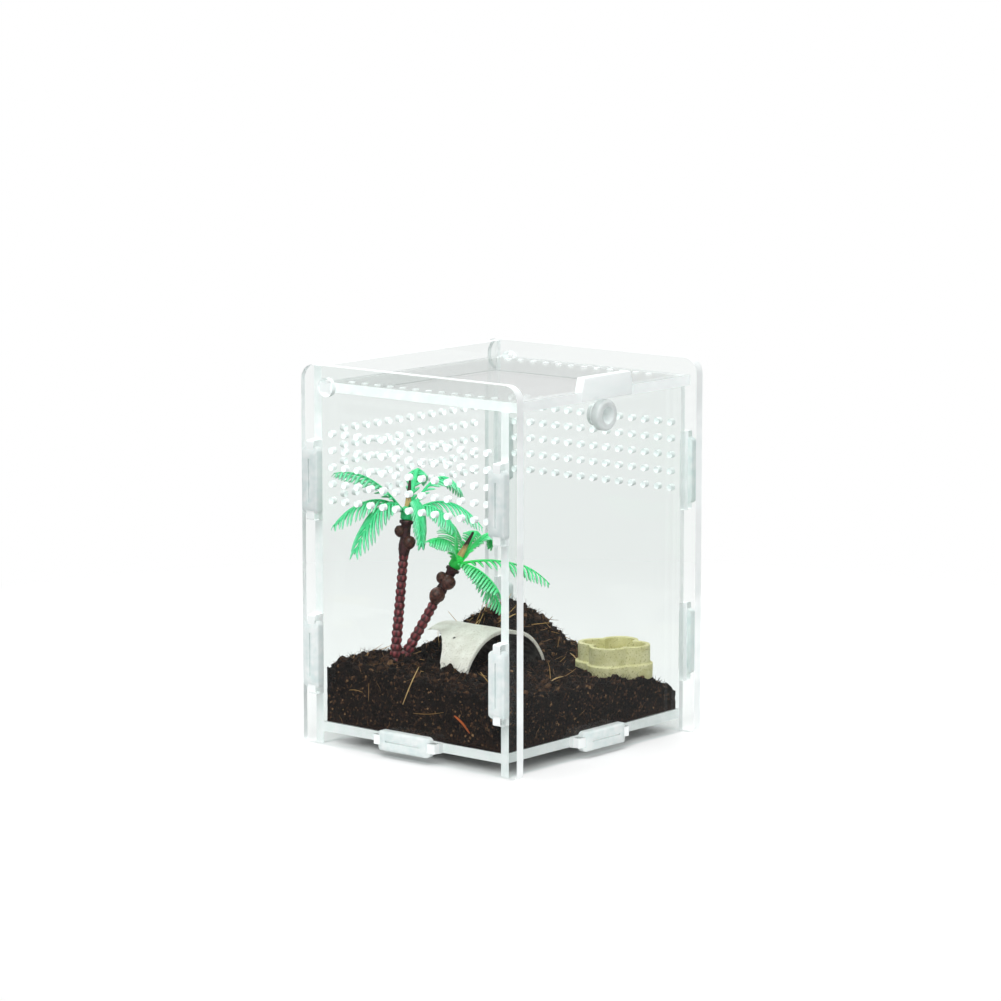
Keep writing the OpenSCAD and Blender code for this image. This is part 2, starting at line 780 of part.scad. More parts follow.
// One trunk: a turned stack of flared rings under a plain neck, which carries three coconuts,
// and then the collar and the peg for a crown.
module trunk(foot, rise, nuts) {
    length = norm(rise);
    rings = round((length - collar_height - neck_length) / trunk_ring);
    collar_z = length - collar_height;
    neck_z = collar_z - neck_length;
    function ring_radius(ring) =
        trunk_radius + (trunk_top_radius - trunk_radius) * ring / rings;
    ring_points = [for (ring = [0 : rings - 1])
        each [[ring_radius(ring), neck_z * ring / rings],
            [ring_radius(ring) + trunk_flare, neck_z * (ring + 1) / rings]]];
    translate(foot)
        rotate([0, tilt_of(rise), turn_of(rise)]) {
            rotate_extrude()
                polygon(concat([[0, 0]], ring_points,
                    [[trunk_top_radius, neck_z], [trunk_top_radius, collar_z],
                    [hub_radius, collar_z], [hub_radius, length], [peg_radius, length],
                    [peg_radius, length + hub_height], [peg_tip_radius, length + peg_length],
                    [0, length + peg_length]]));
            for (nut = nuts)
                rotate(nut[0] - turn_of(rise))
                    translate([coconut_offset, 0, length - nut[1] * coconut_radius])
                        sphere(r = nut[2] * coconut_radius);
        }
}

module twin_palm_trunks() {
    color([0.33, 0.15, 0.16]) {
        translate([-palm_x, palm_y, palm_bottom_z])
            cylinder(h = palm_foot_thickness, r = palm_foot_radius);
        trunk(tall_foot, tall_rise, tall_nuts);
        trunk(short_foot, short_rise, short_nuts);
    }
}

// A frond is one thin folded leaf. A narrow rib arches out from the hub, and each side of it
// carries a comb of slender leaflets that sweep on towards the tip and hang below the rib.
module frond(share, lift, sag) {
    n = leaflets;
    reach = frond_reach * share;
    widest = frond_half_width * min(share, 1);
    function rib(u) = [hub_radius / 2 + reach * u, 0,
        hub_height / 2 + frond_reach * (lift * u - sag * u * u)];
    function spread(u) = widest * (0.25 + 0.75 * sin(180 * u));
    function tip(k, side) =
        let (u = (k + 0.5) / n,
            half_width = spread(u))
        rib(u + leaflet_sweep * half_width / frond_half_width / reach)
            + [0, side * half_width, -leaflet_droop * half_width / frond_half_width];
    upper = concat(
        [for (k = [0 : n]) rib(k / n) + [0, frond_rib, 0]],
        [for (k = [0 : n]) rib(k / n) - [0, frond_rib, 0]],
        [for (k = [0 : n - 1]) tip(k, 1)],
        [for (k = [0 : n - 1]) tip(k, -1)]);
    lower = [for (p = upper) p - [0, 0, frond_thickness]];
    count = len(upper);
    left = 0;
    right = n + 1;
    left_tip = 2 * n + 2;
    right_tip = 3 * n + 2;
    skin = concat(
        [for (k = [0 : n - 1]) [left + k, left + k + 1, right + k + 1, right + k]],
        [for (k = [0 : n - 1]) [left + k, left_tip + k, left + k + 1]],
        [for (k = [0 : n - 1]) [right + k + 1, right_tip + k, right + k]]);
    edges = concat(
        [for (k = [0 : n - 1]) each [[left + k, left_tip + k], [left_tip + k, left + k + 1]]],
        [for (k = [0 : n - 1])
            each [[right + k + 1, right_tip + k], [right_tip + k, right + k]]],
        [[right, left], [left + n, right + n]]);
    underside = [for (face = skin) [for (i = [len(face) - 1 : -1 : 0]) face[i] + count]];
    rim = [for (e = edges) [e[1], e[0], e[0] + count, e[1] + count]];
    polyhedron(points = concat(upper, lower), faces = concat(skin, underside, rim));
}

module crown(foot, rise, fronds) {
    translate(foot + rise)
        rotate([0, tilt_of(rise), turn_of(rise)])
            rotate([0, 0, -turn_of(rise)])
                difference() {
                    union() {
                        cylinder(h = hub_height, r = hub_radius);
                        for (f = fronds)
                            rotate([0, 0, f[0]])
                                frond(f[1], f[2], f[3]);
                    }
                    translate([0, 0, -1])
                        cylinder(h = side_height, r = peg_radius + peg_gap);
                }
}

module tall_palm_crown() {
    color([0.3, 0.85, 0.6])
        crown(tall_foot, tall_rise, tall_fronds);
}

module short_palm_crown() {
    color([0.25, 0.82, 0.5])
        crown(short_foot, short_rise, short_fronds);
}

left_side_panel();
right_side_panel();
front_panel();
back_panel();
floor_panel();
lid_panel();
lid_pull();
feeding_stopper();
left_front_upper_clip();
left_front_lower_clip();
left_back_upper_clip();
left_back_lower_clip();
right_front_upper_clip();
right_front_lower_clip();
right_back_upper_clip();
right_back_lower_clip();
floor_left_clip();
floor_right_clip();
floor_front_clip();
floor_back_clip();
soil_bed();
twin_palm_trunks();
tall_palm_crown();
short_palm_crown();
arched_hide();
water_dish();
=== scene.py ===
# %% [markdown]
# # A clear pet keeper
# This lesson dresses a small terrarium for a jumping spider or a gecko. Six clear sheets stand in
# slots and are locked by snap clips. Inside lie soil, a twin palm, an arched hide and a dish.
# The frame brings the exact solids and the moving bodies, and every piece made here rides on one.

import json
import random
from math import asin, atan2, copysign, cos, degrees, exp, hypot, pi, radians, sin, sqrt

import bmesh
import bpy
import numpy as np
from mathutils import Matrix, Vector, noise

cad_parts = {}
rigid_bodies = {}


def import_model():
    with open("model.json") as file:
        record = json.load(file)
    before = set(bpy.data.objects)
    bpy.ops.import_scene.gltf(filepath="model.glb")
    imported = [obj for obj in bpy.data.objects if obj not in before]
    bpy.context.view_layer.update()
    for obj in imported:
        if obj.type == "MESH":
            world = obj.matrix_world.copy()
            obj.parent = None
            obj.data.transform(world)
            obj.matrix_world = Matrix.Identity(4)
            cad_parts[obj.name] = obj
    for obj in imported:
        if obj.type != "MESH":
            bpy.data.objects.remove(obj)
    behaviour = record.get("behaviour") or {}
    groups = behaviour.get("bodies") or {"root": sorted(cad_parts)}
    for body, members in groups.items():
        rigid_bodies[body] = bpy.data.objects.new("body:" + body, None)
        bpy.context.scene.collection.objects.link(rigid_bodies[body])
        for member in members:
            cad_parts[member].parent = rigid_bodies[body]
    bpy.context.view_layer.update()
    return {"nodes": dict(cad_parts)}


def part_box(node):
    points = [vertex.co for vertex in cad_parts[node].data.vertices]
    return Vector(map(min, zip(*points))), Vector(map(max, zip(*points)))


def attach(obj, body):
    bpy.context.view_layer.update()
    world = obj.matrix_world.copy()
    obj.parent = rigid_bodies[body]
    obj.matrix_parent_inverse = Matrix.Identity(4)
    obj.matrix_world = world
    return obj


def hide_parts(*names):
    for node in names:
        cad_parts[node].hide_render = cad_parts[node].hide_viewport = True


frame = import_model()
MM = 0.001

# %% [markdown]
# Blender works in metres and in linear light. MM turns millimetres into metres, and a small
# helper turns an everyday colour, given from 0 to 255, into linear numbers. Another puts a
# mesh, a lamp or a lens into the scene.

# %% Units and colours
def colour(red, green, blue):
    def linear(value):
        value /= 255
        return value / 12.92 if value <= 0.04045 else ((value + 0.055) / 1.055) ** 2.4

    return (linear(red), linear(green), linear(blue), 1.0)


def put(name, data):
    """A new object in the scene, at the origin."""
    thing = bpy.data.objects.new(name, data)
    bpy.context.collection.objects.link(thing)
    return thing


print("mid grey is", round(colour(128, 128, 128)[0], 3))

# %% [markdown]
# The camera stands at the front left corner, a little above the lid, with a long lens that keeps
# the keeper's upright edges almost parallel. Its axes are written out as three directions.

# %% Camera
lens = bpy.data.cameras.new("keeper_camera")
lens.lens = 149.2
lens.sensor_width = 36
lens.clip_start, lens.clip_end = 0.05, 50
camera = put("keeper_camera", lens)
ahead = Vector((0.7567, 0.6342, -0.1589)).normalized()
above = Vector((0.1218, 0.1021, 0.9873))
aside = ahead.cross(above).normalized()
above = aside.cross(ahead)
turn = Matrix((aside, above, -ahead)).transposed()
camera.matrix_world = Matrix.Translation((-0.9043, -0.7570, 0.2592)) @ turn.to_4x4()
bpy.context.scene.camera = camera
print("the camera looks down by", round(degrees(asin(-ahead.z)), 1), "degrees")

# %% [markdown]
# Node trees are easier to read as sums than as wires. A Reading stands for one output, and the
# usual signs between readings add the Math nodes. Nodes holds a tree and adds any other node
# from its type, its settings and what its sockets get. It serves materials and Geometry Nodes.

# %% Readings and nodes
def sign(operation, reflected=False):
    """An operator that adds one Math node."""
    def method(self, other):
        pair = (other, self) if reflected else (self, other)
        return self.nodes.add("ShaderNodeMath", {"operation": operation}, dict(enumerate(pair)))

    return method


class Reading:
    def __init__(self, nodes, socket):
        self.nodes, self.socket = nodes, socket

    __add__, __radd__ = sign("ADD"), sign("ADD", reflected=True)
    __sub__, __rsub__ = sign("SUBTRACT"), sign("SUBTRACT", reflected=True)
    __mul__, __rmul__ = sign("MULTIPLY"), sign("MULTIPLY", reflected=True)
    __truediv__, __mod__, most = sign("DIVIDE"), sign("MODULO"), sign("MAXIMUM")

    def over(self, low, high):
        """0 below low, 1 above high, and a straight line between them."""
        return self.nodes.add("ShaderNodeMapRange", {"clamp": True},
                              {"Value": self, "From Min": low, "From Max": high})


class Nodes:
    def __init__(self, tree):
        self.tree = tree
        tree.nodes.clear()

    @staticmethod
    def pick(sockets, key):
        if isinstance(key, int):
            return sockets[key]
        return next(s for s in sockets if s.name == key and not s.is_unavailable)

    def add(self, kind, settings=None, sockets=None, out=0):
        node = self.tree.nodes.new(kind)
        for name, value in (settings or {}).items():
            if name == "stops":
                ramp = node.color_ramp.elements
                while len(ramp) < len(value):
                    ramp.new(0.5)
                for stop, (place, tint) in zip(ramp, value):
                    stop.position, stop.color = place, tint
            else:
                setattr(node, name, value)
        for key, value in (sockets or {}).items():
            socket = self.pick(node.inputs, key)
            if isinstance(value, Reading):
                self.tree.links.new(value.socket, socket)
            else:
                socket.default_value = value
        return Reading(self, self.pick(node.outputs, out)) if node.outputs else node

    def vector(self, operation, *values, out="Vector"):
        return self.add("ShaderNodeVectorMath", {"operation": operation},
                        dict(enumerate(values)), out)

    def height_of(self, place):
        return self.add("ShaderNodeSeparateXYZ", None, {"Vector": place}, out="Z")


print("the helper classes are ready")

# %% [markdown]
# A Finish is one material. It offers the patterns that moulded plastic, sheet and soil share:
# noise in the piece's own coordinates, a blend of two colours, and a bump.

# %% Finishes
class Finish(Nodes):
    def __init__(self, name):
        self.material = bpy.data.materials.new(name)
        self.material.use_nodes = True
        super().__init__(self.material.node_tree)
        self.place = self.add("ShaderNodeTexCoord", out="Object")

    def grain(self, size, detail=2.0, stretch=(1, 1, 1), rough=0.5):
        """Noise from 0 to 1 whose lumps measure about size millimetres."""
        scaled = self.vector("MULTIPLY", self.place, [s / (size * MM) for s in stretch])
        return self.add("ShaderNodeTexNoise", {"noise_dimensions": "3D"},
                        {"Vector": scaled, "Scale": 1.0, "Detail": detail, "Roughness": rough})

    def blend(self, mask, first, second):
        return self.add("ShaderNodeMix", {"data_type": "RGBA"},
                        {0: mask, 6: first, 7: second}, out=2)

    def ramp(self, mask, *stops):
        """Each stop is a place from 0 to 1 with red, green and blue from 0 to 255."""
        stops = [(place, colour(*tint)) for place, *tint in stops]
        return self.add("ShaderNodeValToRGB", {"stops": stops}, {"Fac": mask}, out="Color")

    def bump(self, height, distance, strength=1.0):
        """height runs from 0 to 1, and distance is the relief in millimetres."""
        return self.add("ShaderNodeBump", None,
                        {"Strength": strength, "Distance": distance * MM, "Height": height})

    def attribute(self, name):
        return self.add("ShaderNodeAttribute", {"attribute_name": name}, out="Fac")

    def shade(self, tint, **sockets):
        names = {key.replace("_", " ").title().replace("Ior", "IOR"): value
                 for key, value in sockets.items()}
        return self.add("ShaderNodeBsdfPrincipled", None, {"Base Color": tint, **names})

    def show(self, shader):
        self.add("ShaderNodeOutputMaterial", None, {"Surface": shader})
        return self.material

    def light_through(self, glass, share):
        """Lamps shine through the glass, where a plain glass shader would cast a dark shadow."""
        shadow = self.add("ShaderNodeLightPath", out="Is Shadow Ray")
        clear = self.add("ShaderNodeBsdfTransparent", None, {"Color": (share, share, share, 1)})
        return self.add("ShaderNodeMixShader", None, {0: shadow, 1: glass, 2: clear})


print("a finish offers:", ", ".join(name for name in vars(Finish) if name[0] != "_"))

# %% [markdown]
# Shapes are swept from rings of points: a skin joins each ring to the next and closes both ends.
# A number or a vector written on every point can steer a colour or Geometry Nodes later.

# %% Mesh helpers
def ring_of(shape, places):
    return [shape.verts.new(place) for place in places]


def skin(shape, rings):
    for one, other in zip(rings, rings[1:]):
        for k in range(len(one)):
            after = (k + 1) % len(one)
            shape.faces.new((one[k], one[after], other[after], other[k]))
    shape.faces.new(list(reversed(rings[0])))
    shape.faces.new(rings[-1])


def as_mesh(name, shape, rounded=True):
    bmesh.ops.recalc_face_normals(shape, faces=shape.faces)
    mesh = bpy.data.meshes.new(name)
    shape.to_mesh(mesh)
    shape.free()
    if rounded:
        mesh.shade_smooth()
    return mesh


def swept(name, rings, rounded=True):
    shape = bmesh.new()
    skin(shape, [ring_of(shape, ring) for ring in rings])
    return as_mesh(name, shape, rounded)


def write(mesh, name, values, kind="FLOAT"):
    data = mesh.attributes.new(name, kind, "POINT").data
    field = "vector" if kind == "FLOAT_VECTOR" else "value"
    for item, value in zip(data, values):
        setattr(item, field, value)


def wear(mesh, material):
    mesh.materials.clear()
    mesh.materials.append(material)


def tell(*things):
    for thing in things:
        print(thing.name, "has", len(thing.data.polygons), "faces")


print("meshes are built with swept(), and dressed with write() and wear()")

# %% [markdown]
# The keeper stands on a plain pale floor that reaches to the horizon. Close to the keeper the
# floor is a matt white that takes its shadow. Further off it turns into plain white for every
# ray that is looked along, and the world does the same, so that the sheets show white behind.
# Once a ray has met a mirror, the floor and the low world are dim to it, because bright ones
# would veil the dark soil behind the upright sheets. Higher up the world is bright, so the lid
# looks clear.

# %% Floor and world
WHITE, MIRRORED, SOFT_LIGHT, FLOOR = (1, 1, 1, 1), 0.2, 0.86, 30


def seen_in_mirror(nodes):
    return nodes.add("ShaderNodeLightPath", out="Glossy Depth").over(0, 1)


def seen_by_eye(nodes):
    ray = nodes.add("ShaderNodeLightPath", out="Is Camera Ray")
    through = nodes.add("ShaderNodeLightPath", out="Is Transmission Ray")
    return ray.most(through) * (1 - seen_in_mirror(nodes))


finish = Finish("pale_floor")
spread = finish.vector("LENGTH", finish.place, out="Value")
mirror = seen_in_mirror(finish)
pale = finish.blend(mirror, (0.93, 0.93, 0.93, 1), (MIRRORED, MIRRORED, MIRRORED, 1))
matt = finish.add("ShaderNodeBsdfDiffuse", None, {"Color": pale})
glow = finish.add("ShaderNodeEmission", None,
                  {"Color": WHITE, "Strength": seen_by_eye(finish) + mirror * MIRRORED})
floor_mix = finish.add("ShaderNodeMixShader", None,
                       {0: spread.over(0.08, 0.3), 1: matt, 2: glow})
floor_mesh = bpy.data.meshes.new("studio_floor")
floor_mesh.from_pydata([(-FLOOR, -FLOOR, 0), (FLOOR, -FLOOR, 0), (FLOOR, FLOOR, 0),
                        (-FLOOR, FLOOR, 0)], [], [(0, 1, 2, 3)])
wear(floor_mesh, finish.show(floor_mix))
studio_floor = put("studio_floor", floor_mesh)

world = bpy.data.worlds.new("studio")
bpy.context.scene.world = world
world.use_nodes = True
sky = Nodes(world.node_tree)
eye = seen_by_eye(sky)
rise = sky.height_of(sky.add("ShaderNodeTexCoord", out="Object"))
mirrored_light = MIRRORED + 0.65 * rise.over(0.02, 0.14)
unseen = SOFT_LIGHT + seen_in_mirror(sky) * (mirrored_light - SOFT_LIGHT)
sky_light = sky.add("ShaderNodeBackground", None,
                    {"Color": WHITE, "Strength": eye + (1 - eye) * unseen})
sky.add("ShaderNodeOutputWorld", None, {"Surface": sky_light})
bpy.context.scene.view_settings.view_transform = "Standard"
print("the floor is", 2 * FLOOR, "m wide")

# %% [markdown]
# Two large square lamps model a daylight studio: a key from above on the left, and a weaker one
# from behind that lights the fronds and the cut edges.

# %% Lamps
def lamp(name, place, power):
    """A lamp, half a metre wide, that shines at the keeper's middle."""
    light = bpy.data.lights.new(name, "AREA")
    light.shape, light.size, light.energy = "SQUARE", 0.5, power
    direction = (Vector((0, 0, 0.05)) - Vector(place)).to_track_quat("-Z", "Y")
    put(name, light).matrix_world = (Matrix.Translation(place)
                                     @ direction.to_matrix().to_4x4())


lamp("key_lamp", (-0.6, -0.3, 0.9), 5.0)
lamp("back_lamp", (0.5, 0.8, 0.8), 2.6)

# %% [markdown]
# ## Clear sheet
# Acrylic sheet has polished faces, and edges that a laser leaves finely ribbed and milky. The
# faces are real glass with the index of acrylic, with faint smears and hairlines in their gloss.
# The tint of their mirroring is low, so that what lies behind stays dark where it is dark.
# The edges scatter light, and a little painted glow, an emission in their own tint, stands in for
# the light that the sheet gathers and leads to them. So they read as pale frosted lines.

# %% Sheet finishes
ACRYLIC_INDEX, PAINTED_EDGE_GLOW = 1.49, 0.16

finish = Finish("clear_sheet")
smear = finish.grain(22, 3).over(0.45, 0.8)
hairline = finish.grain(1.2, 2, (1, 1, 0.05)).over(0.74, 0.8)
clear_glass = finish.shade((0.93, 0.955, 0.945, 1), roughness=smear * 0.02 + hairline * 0.1,
                           transmission_weight=1.0, ior=ACRYLIC_INDEX,
                           specular_tint=(0.3, 0.3, 0.3, 1))
clear_sheet = finish.show(finish.light_through(clear_glass, 0.94))


def milky(finish, cloud, first, second, through, **sockets):
    """Clouds of two pale tints. A share of the light that falls on it goes through."""
    tint = finish.blend(cloud.over(0.3, 0.7), colour(*first), colour(*second))
    # An emission strength adds a painted glow in the finish's own tint.
    if "emission_strength" in sockets:
        sockets["emission_color"] = tint
    return finish.show(finish.light_through(finish.shade(tint, **sockets), through))


finish = Finish("frosted_edge")
ribs = finish.grain(0.35, 2, (1, 1, 0.3))
# The cut edges glow a little: painted light.
frosted_edge = milky(finish, finish.grain(3, 2), (238, 245, 244), (251, 254, 254), 0.75,
                     roughness=0.42 + ribs * 0.2, transmission_weight=0.2, ior=ACRYLIC_INDEX,
                     normal=finish.bump(ribs, 0.05, 0.5), emission_strength=PAINTED_EDGE_GLOW)
print("sheet finishes:", clear_sheet.name, frosted_edge.name)


# %% [markdown]
# A sheet keeps the exact outline of its solid. The solid comes as loose triangles, so a copy is
# joined where the triangles meet. Flat faces get the clear finish and all cut walls the
# frosted one. Where two sheets touch, the copy steps back by a hair, because two surfaces in
# the same place would flicker.

# %% Copies of solids
def joined_copy(node, name, merge_flat=False):
    """The node's bare triangles in a new mesh, without the normals that it was packed with."""
    source = frame["nodes"][node]
    mesh = bpy.data.meshes.new(name)
    mesh.from_pydata([source.matrix_world @ v.co for v in source.data.vertices], [],
                     [tuple(face.vertices) for face in source.data.polygons])
    shape = bmesh.new()
    shape.from_mesh(mesh)
    bmesh.ops.remove_doubles(shape, verts=shape.verts, dist=2e-6)
    if merge_flat:
        bmesh.ops.dissolve_limit(shape, angle_limit=radians(0.4), verts=shape.verts,
                                 edges=shape.edges)
    shape.to_mesh(mesh)
    shape.free()
    return mesh


def step_back(mesh, axis, places, step=0.02):
    """Vertices that lie in a plane, given in millimetres, move a hair towards the other side."""
    for vertex in mesh.vertices:
        for place, way in places:
            if abs(vertex.co[axis] - place * MM) < 1e-5:
                vertex.co[axis] += way * step * MM


def plain(thing):
    """Works an object's modifiers into its mesh."""
    bpy.context.view_layer.update()
    graph = bpy.context.evaluated_depsgraph_get()
    mesh = bpy.data.meshes.new_from_object(thing.evaluated_get(graph), depsgraph=graph)
    mesh.name = thing.name
    old = thing.data
    thing.modifiers.clear()
    thing.data = mesh
    bpy.data.meshes.remove(old)
    return thing


def round_edges(thing, width, segments):
    """Edges sharper than 38 degrees become round, by a width in millimetres."""
    rounding = thing.modifiers.new("rounding", "BEVEL")
    rounding.width, rounding.segments = width * MM, segments
    rounding.limit_method, rounding.angle_limit = "ANGLE", radians(38)
    plain(thing)
    thing.data.shade_smooth()
    thing.data.set_sharp_from_angle(angle=radians(50))


def sheet_piece(node, name, axis, body, steps):
    mesh = joined_copy(node, name)
    for plane_axis, places in steps:
        step_back(mesh, plane_axis, places)
    mesh.materials.append(clear_sheet)
    mesh.materials.append(frosted_edge)
    for face in mesh.polygons:
        cut = abs(face.normal[axis]) < 0.99
        face.material_index = int(cut)
        face.use_smooth = cut
    mesh.set_sharp_from_angle(angle=radians(40))
    thing = put(name, mesh)
    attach(thing, body)
    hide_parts(node)
    return thing


print("clear and cut faces get finishes of their own")

# %% Six sheets
X, Y, Z = 0, 1, 2
INSIDE_X, INSIDE_FRONT, INSIDE_BACK, LID_BOTTOM = 39.0, -33.0, 33.6, 102.4
side_gaps = [(X, [(INSIDE_X, -1), (-INSIDE_X, 1)])]
across = [(Y, [(INSIDE_FRONT, 1), (INSIDE_BACK, -1)])]
under_lid = [(Z, [(LID_BOTTOM, -1)])]
sheets = [
    sheet_piece("left_side_panel", "left_side_sheet", X, "case", []),
    sheet_piece("right_side_panel", "right_side_sheet", X, "case", []),
    sheet_piece("front_panel", "front_sheet", Y, "case", side_gaps + under_lid),
    sheet_piece("back_panel", "back_sheet", Y, "case", side_gaps),
    sheet_piece("floor_panel", "floor_sheet", Z, "case", side_gaps + across),
    sheet_piece("lid_panel", "lid_sheet", Z, "lid", []),
]
tell(*sheets)

# %% [markdown]
# ## Snap clips
# The twelve clips are one moulding: two jaws and a slit crown that slides over a tab. The solid
# of one clip is joined, its edges are rounded, and Geometry Nodes set it on all twelve tabs.
# The tree gets a point for each clip with the turn that it needs.

# %% A recipe for Geometry Nodes
class Recipe(Nodes):
    """A Geometry Nodes tree with named inputs. make() works it into a plain mesh."""

    KINDS = {float: "NodeSocketFloat", int: "NodeSocketInt",
             bpy.types.Collection: "NodeSocketCollection"}

    def __init__(self, name, **inputs):
        super().__init__(bpy.data.node_groups.new(name, "GeometryNodeTree"))
        face = self.tree.interface
        face.new_socket("Geometry", in_out="INPUT", socket_type="NodeSocketGeometry")
        self.keys = {}
        for label, start in inputs.items():
            kind = self.KINDS.get(type(start), "NodeSocketObject")
            socket = face.new_socket(label, in_out="INPUT", socket_type=kind)
            self.keys[label] = socket.identifier
        face.new_socket("Geometry", in_out="OUTPUT", socket_type="NodeSocketGeometry")
        self.values = inputs
        group = self.tree.nodes.new("NodeGroupInput")
        self.inputs = {s.name: Reading(self, s) for s in group.outputs if s.name}

    def mesh_of(self, label):
        return self.add("GeometryNodeObjectInfo", None, {"Object": self.inputs[label]},
                        out="Geometry")

    def named(self, name, kind="FLOAT_VECTOR"):
        return self.add("GeometryNodeInputNamedAttribute", {"data_type": kind}, {"Name": name},
                        out="Attribute")

    def chance(self, low, high, seed):
        return self.add("FunctionNodeRandomValue", {"data_type": "FLOAT"},
                        {"Min": low, "Max": high, "Seed": seed}, out="Value")

    def instances(self, shape, rotation, **sockets):
        return self.add("GeometryNodeInstanceOnPoints", None,
                        {"Points": self.inputs["Geometry"], "Instance": shape,
                         "Rotation": rotation, **sockets})

    def done(self, geometry, material):
        real = self.add("GeometryNodeRealizeInstances", None, {"Geometry": geometry})
        worn = self.add("GeometryNodeSetMaterial", None, {"Geometry": real, "Material": material})
        self.add("NodeGroupOutput", None, {"Geometry": worn})

    def make(self, thing, **values):
        step = thing.modifiers.new("recipe", "NODES")
        step.node_group = self.tree
        for label, value in {**self.values, **values}.items():
            step[self.keys[label]] = value
        return plain(thing)


def points(name, places, **attributes):
    """A mesh of loose points, with one vector or number per point for each attribute."""
    mesh = bpy.data.meshes.new(name)
    mesh.from_pydata([tuple(place) for place in places], [], [])
    for label, rows in attributes.items():
        single = isinstance(rows[0], (int, float))
        write(mesh, label, rows, "FLOAT" if single else "FLOAT_VECTOR")
    return put(name, mesh)


def discard(*things):
    for thing in things:
        bpy.data.objects.remove(thing)


print("recipes end in Realize Instances and Set Material")

# %% [markdown]
# The clips are moulded in milky plastic. Faint clouds tint it and flow marks ruffle it. It
# scatters most of the light, so an opaque shader with a little transmission is enough.

# %% Clip finish
finish = Finish("clip_nylon")
haze = finish.grain(2.5, 3)
clip_nylon = milky(finish, haze, (226, 239, 238), (246, 251, 250), 0.35,
                   roughness=0.3 + haze * 0.2, transmission_weight=0.15, ior=1.52,
                   normal=finish.bump(finish.grain(0.5, 2), 0.03, 0.35))
print("clip finish:", clip_nylon.name)

# %% One clip, twelve times
first_clip = "left_front_upper_clip"
clip_mesh = joined_copy(first_clip, "one_clip", merge_flat=True)
low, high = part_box(first_clip)
seat = Vector((high[0], (low[1] + high[1]) / 2, (low[2] + high[2]) / 2))
lie_flat = Matrix(((0, 0, 1), (0, 1, 0), (-1, 0, 0)))
clip_mesh.transform(lie_flat.to_4x4() @ Matrix.Translation(-seat))
step_back(clip_mesh, Z, [(0, 1)], 0.015)
clip = put("one_clip", clip_mesh)
round_edges(clip, 0.14, 2)

UP, LEFT, RIGHT, FRONT, BACK = (Vector(way) for way in (
    (0, 0, 1), (-1, 0, 0), (1, 0, 0), (0, -1, 0), (0, 1, 0)))
clip_ways = {f"{side}_{end}_{level}_clip": (out, UP)
             for side, out in (("left", LEFT), ("right", RIGHT))
             for end in ("front", "back") for level in ("upper", "lower")}
clip_ways |= {"floor_left_clip": (LEFT, FRONT), "floor_right_clip": (RIGHT, BACK),
              "floor_front_clip": (FRONT, RIGHT), "floor_back_clip": (BACK, LEFT)}
clip_seats, clip_turns = [], []
for node, (out, along) in clip_ways.items():
    low, high = (Vector(corner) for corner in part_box(node))
    centre = (low + high) / 2
    reach = abs((high - low).dot(out)) / 2
    clip_seats.append(centre - out * reach)
    clip_turns.append(Matrix((along, out.cross(along), out)).transposed().to_euler())

clip_recipe = Recipe("clips_on_tabs", Clip=clip)
set_clips = clip_recipe.instances(clip_recipe.mesh_of("Clip"), clip_recipe.named("turn"))
clip_recipe.done(set_clips, clip_nylon)
snap_clips = clip_recipe.make(points("snap_clips", clip_seats, turn=clip_turns))
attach(snap_clips, "case")
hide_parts(*clip_ways)
discard(clip)
print("clips:", len(clip_seats))
tell(snap_clips)

# %% [markdown]
# ## Lid pull and feeding stopper
# The pull is a small bar of milky sheet that is cemented into the lid's notch. The stopper is a
# soft clear cup that closes the feeding hole. Both keep their solids with rounded edges.

# %% Pull and stopper
def rounded_piece(node, name, body, material, width, steps=()):
    mesh = joined_copy(node, name, merge_flat=True)
    for axis, places in steps:
        step_back(mesh, axis, places)
    wear(mesh, material)
    thing = put(name, mesh)
    round_edges(thing, width, 3)
    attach(thing, body)
    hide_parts(node)
    return thing


finish = Finish("milky_sheet")
milk = finish.grain(2, 3)
# The pull glows a little in its own tint, as painted light, like the cut edges.
milky_sheet = milky(finish, milk, (238, 245, 244), (252, 254, 254), 0.5,
                    roughness=0.25 + milk * 0.25, transmission_weight=0.15, ior=ACRYLIC_INDEX,
                    normal=finish.bump(milk, 0.03, 0.4), emission_strength=PAINTED_EDGE_GLOW * 0.8)

finish = Finish("clear_silicone")
film = finish.grain(1.1, 3)
cup_shade = finish.shade((0.93, 0.97, 0.965, 1), roughness=0.12 + film * 0.16,
                         transmission_weight=0.4, ior=1.41,
                         normal=finish.bump(film, 0.03, 0.4))
clear_silicone = finish.show(finish.light_through(cup_shade, 0.8))
lid_pull = rounded_piece("lid_pull", "lid_grip", "lid", milky_sheet, 0.3)
stopper = rounded_piece("feeding_stopper", "feeding_cup", "stopper",
                        clear_silicone, 0.18, [(Y, [(-35.8, -1)])])
tell(lid_pull, stopper)

# %% [markdown]
# ## The lie of the soil
# The soil is a sloping bed with a mound at the back right, a small rise round the palm, a dip in
# the front right corner and a wavy pattern of large clods. The same rule gave the solid its
# shape. Here three sizes of noise break the surface up further. Lengths in this part are in
# millimetres. A bell is a smooth heap: its middle, and how far it spreads along X and Y.

# %% Height of the ground
SOIL_X, SOIL_FRONT, SOIL_BACK, SOIL_FLOOR = 38.25, -32.3, 32.9, 6.53
MOUND, PALM_RISE, CORNER_DIP = (24, 18, 11, 9), (-22.7, 19.6, 8, 8), (38.7, -32.7, 9, 9)
CAVE_GROUND, CLOD_PITCH = 18.0, 12.0
HIDE_RADIUS, HIDE_WALL, HIDE_FRONT, HIDE_LENGTH, HIDE_BASE = 18.0, 1.3, -0.7, 22.4, 13.7
DISH_X, DISH_Y, DISH_GROUND, LOBE_OFFSET, LOBE_RADIUS, DISH_TURN = 26.6, -18.5, 17.2, 5.2, 5.6, 20


def bell(x, y, middle_x, middle_y, spread_x, spread_y):
    return exp(-(x - middle_x) ** 2 / (2 * spread_x ** 2)
                    - (y - middle_y) ** 2 / (2 * spread_y ** 2))


def uneven(place, octaves=3):
    return noise.fractal(place, 0.9, 2.1, octaves)


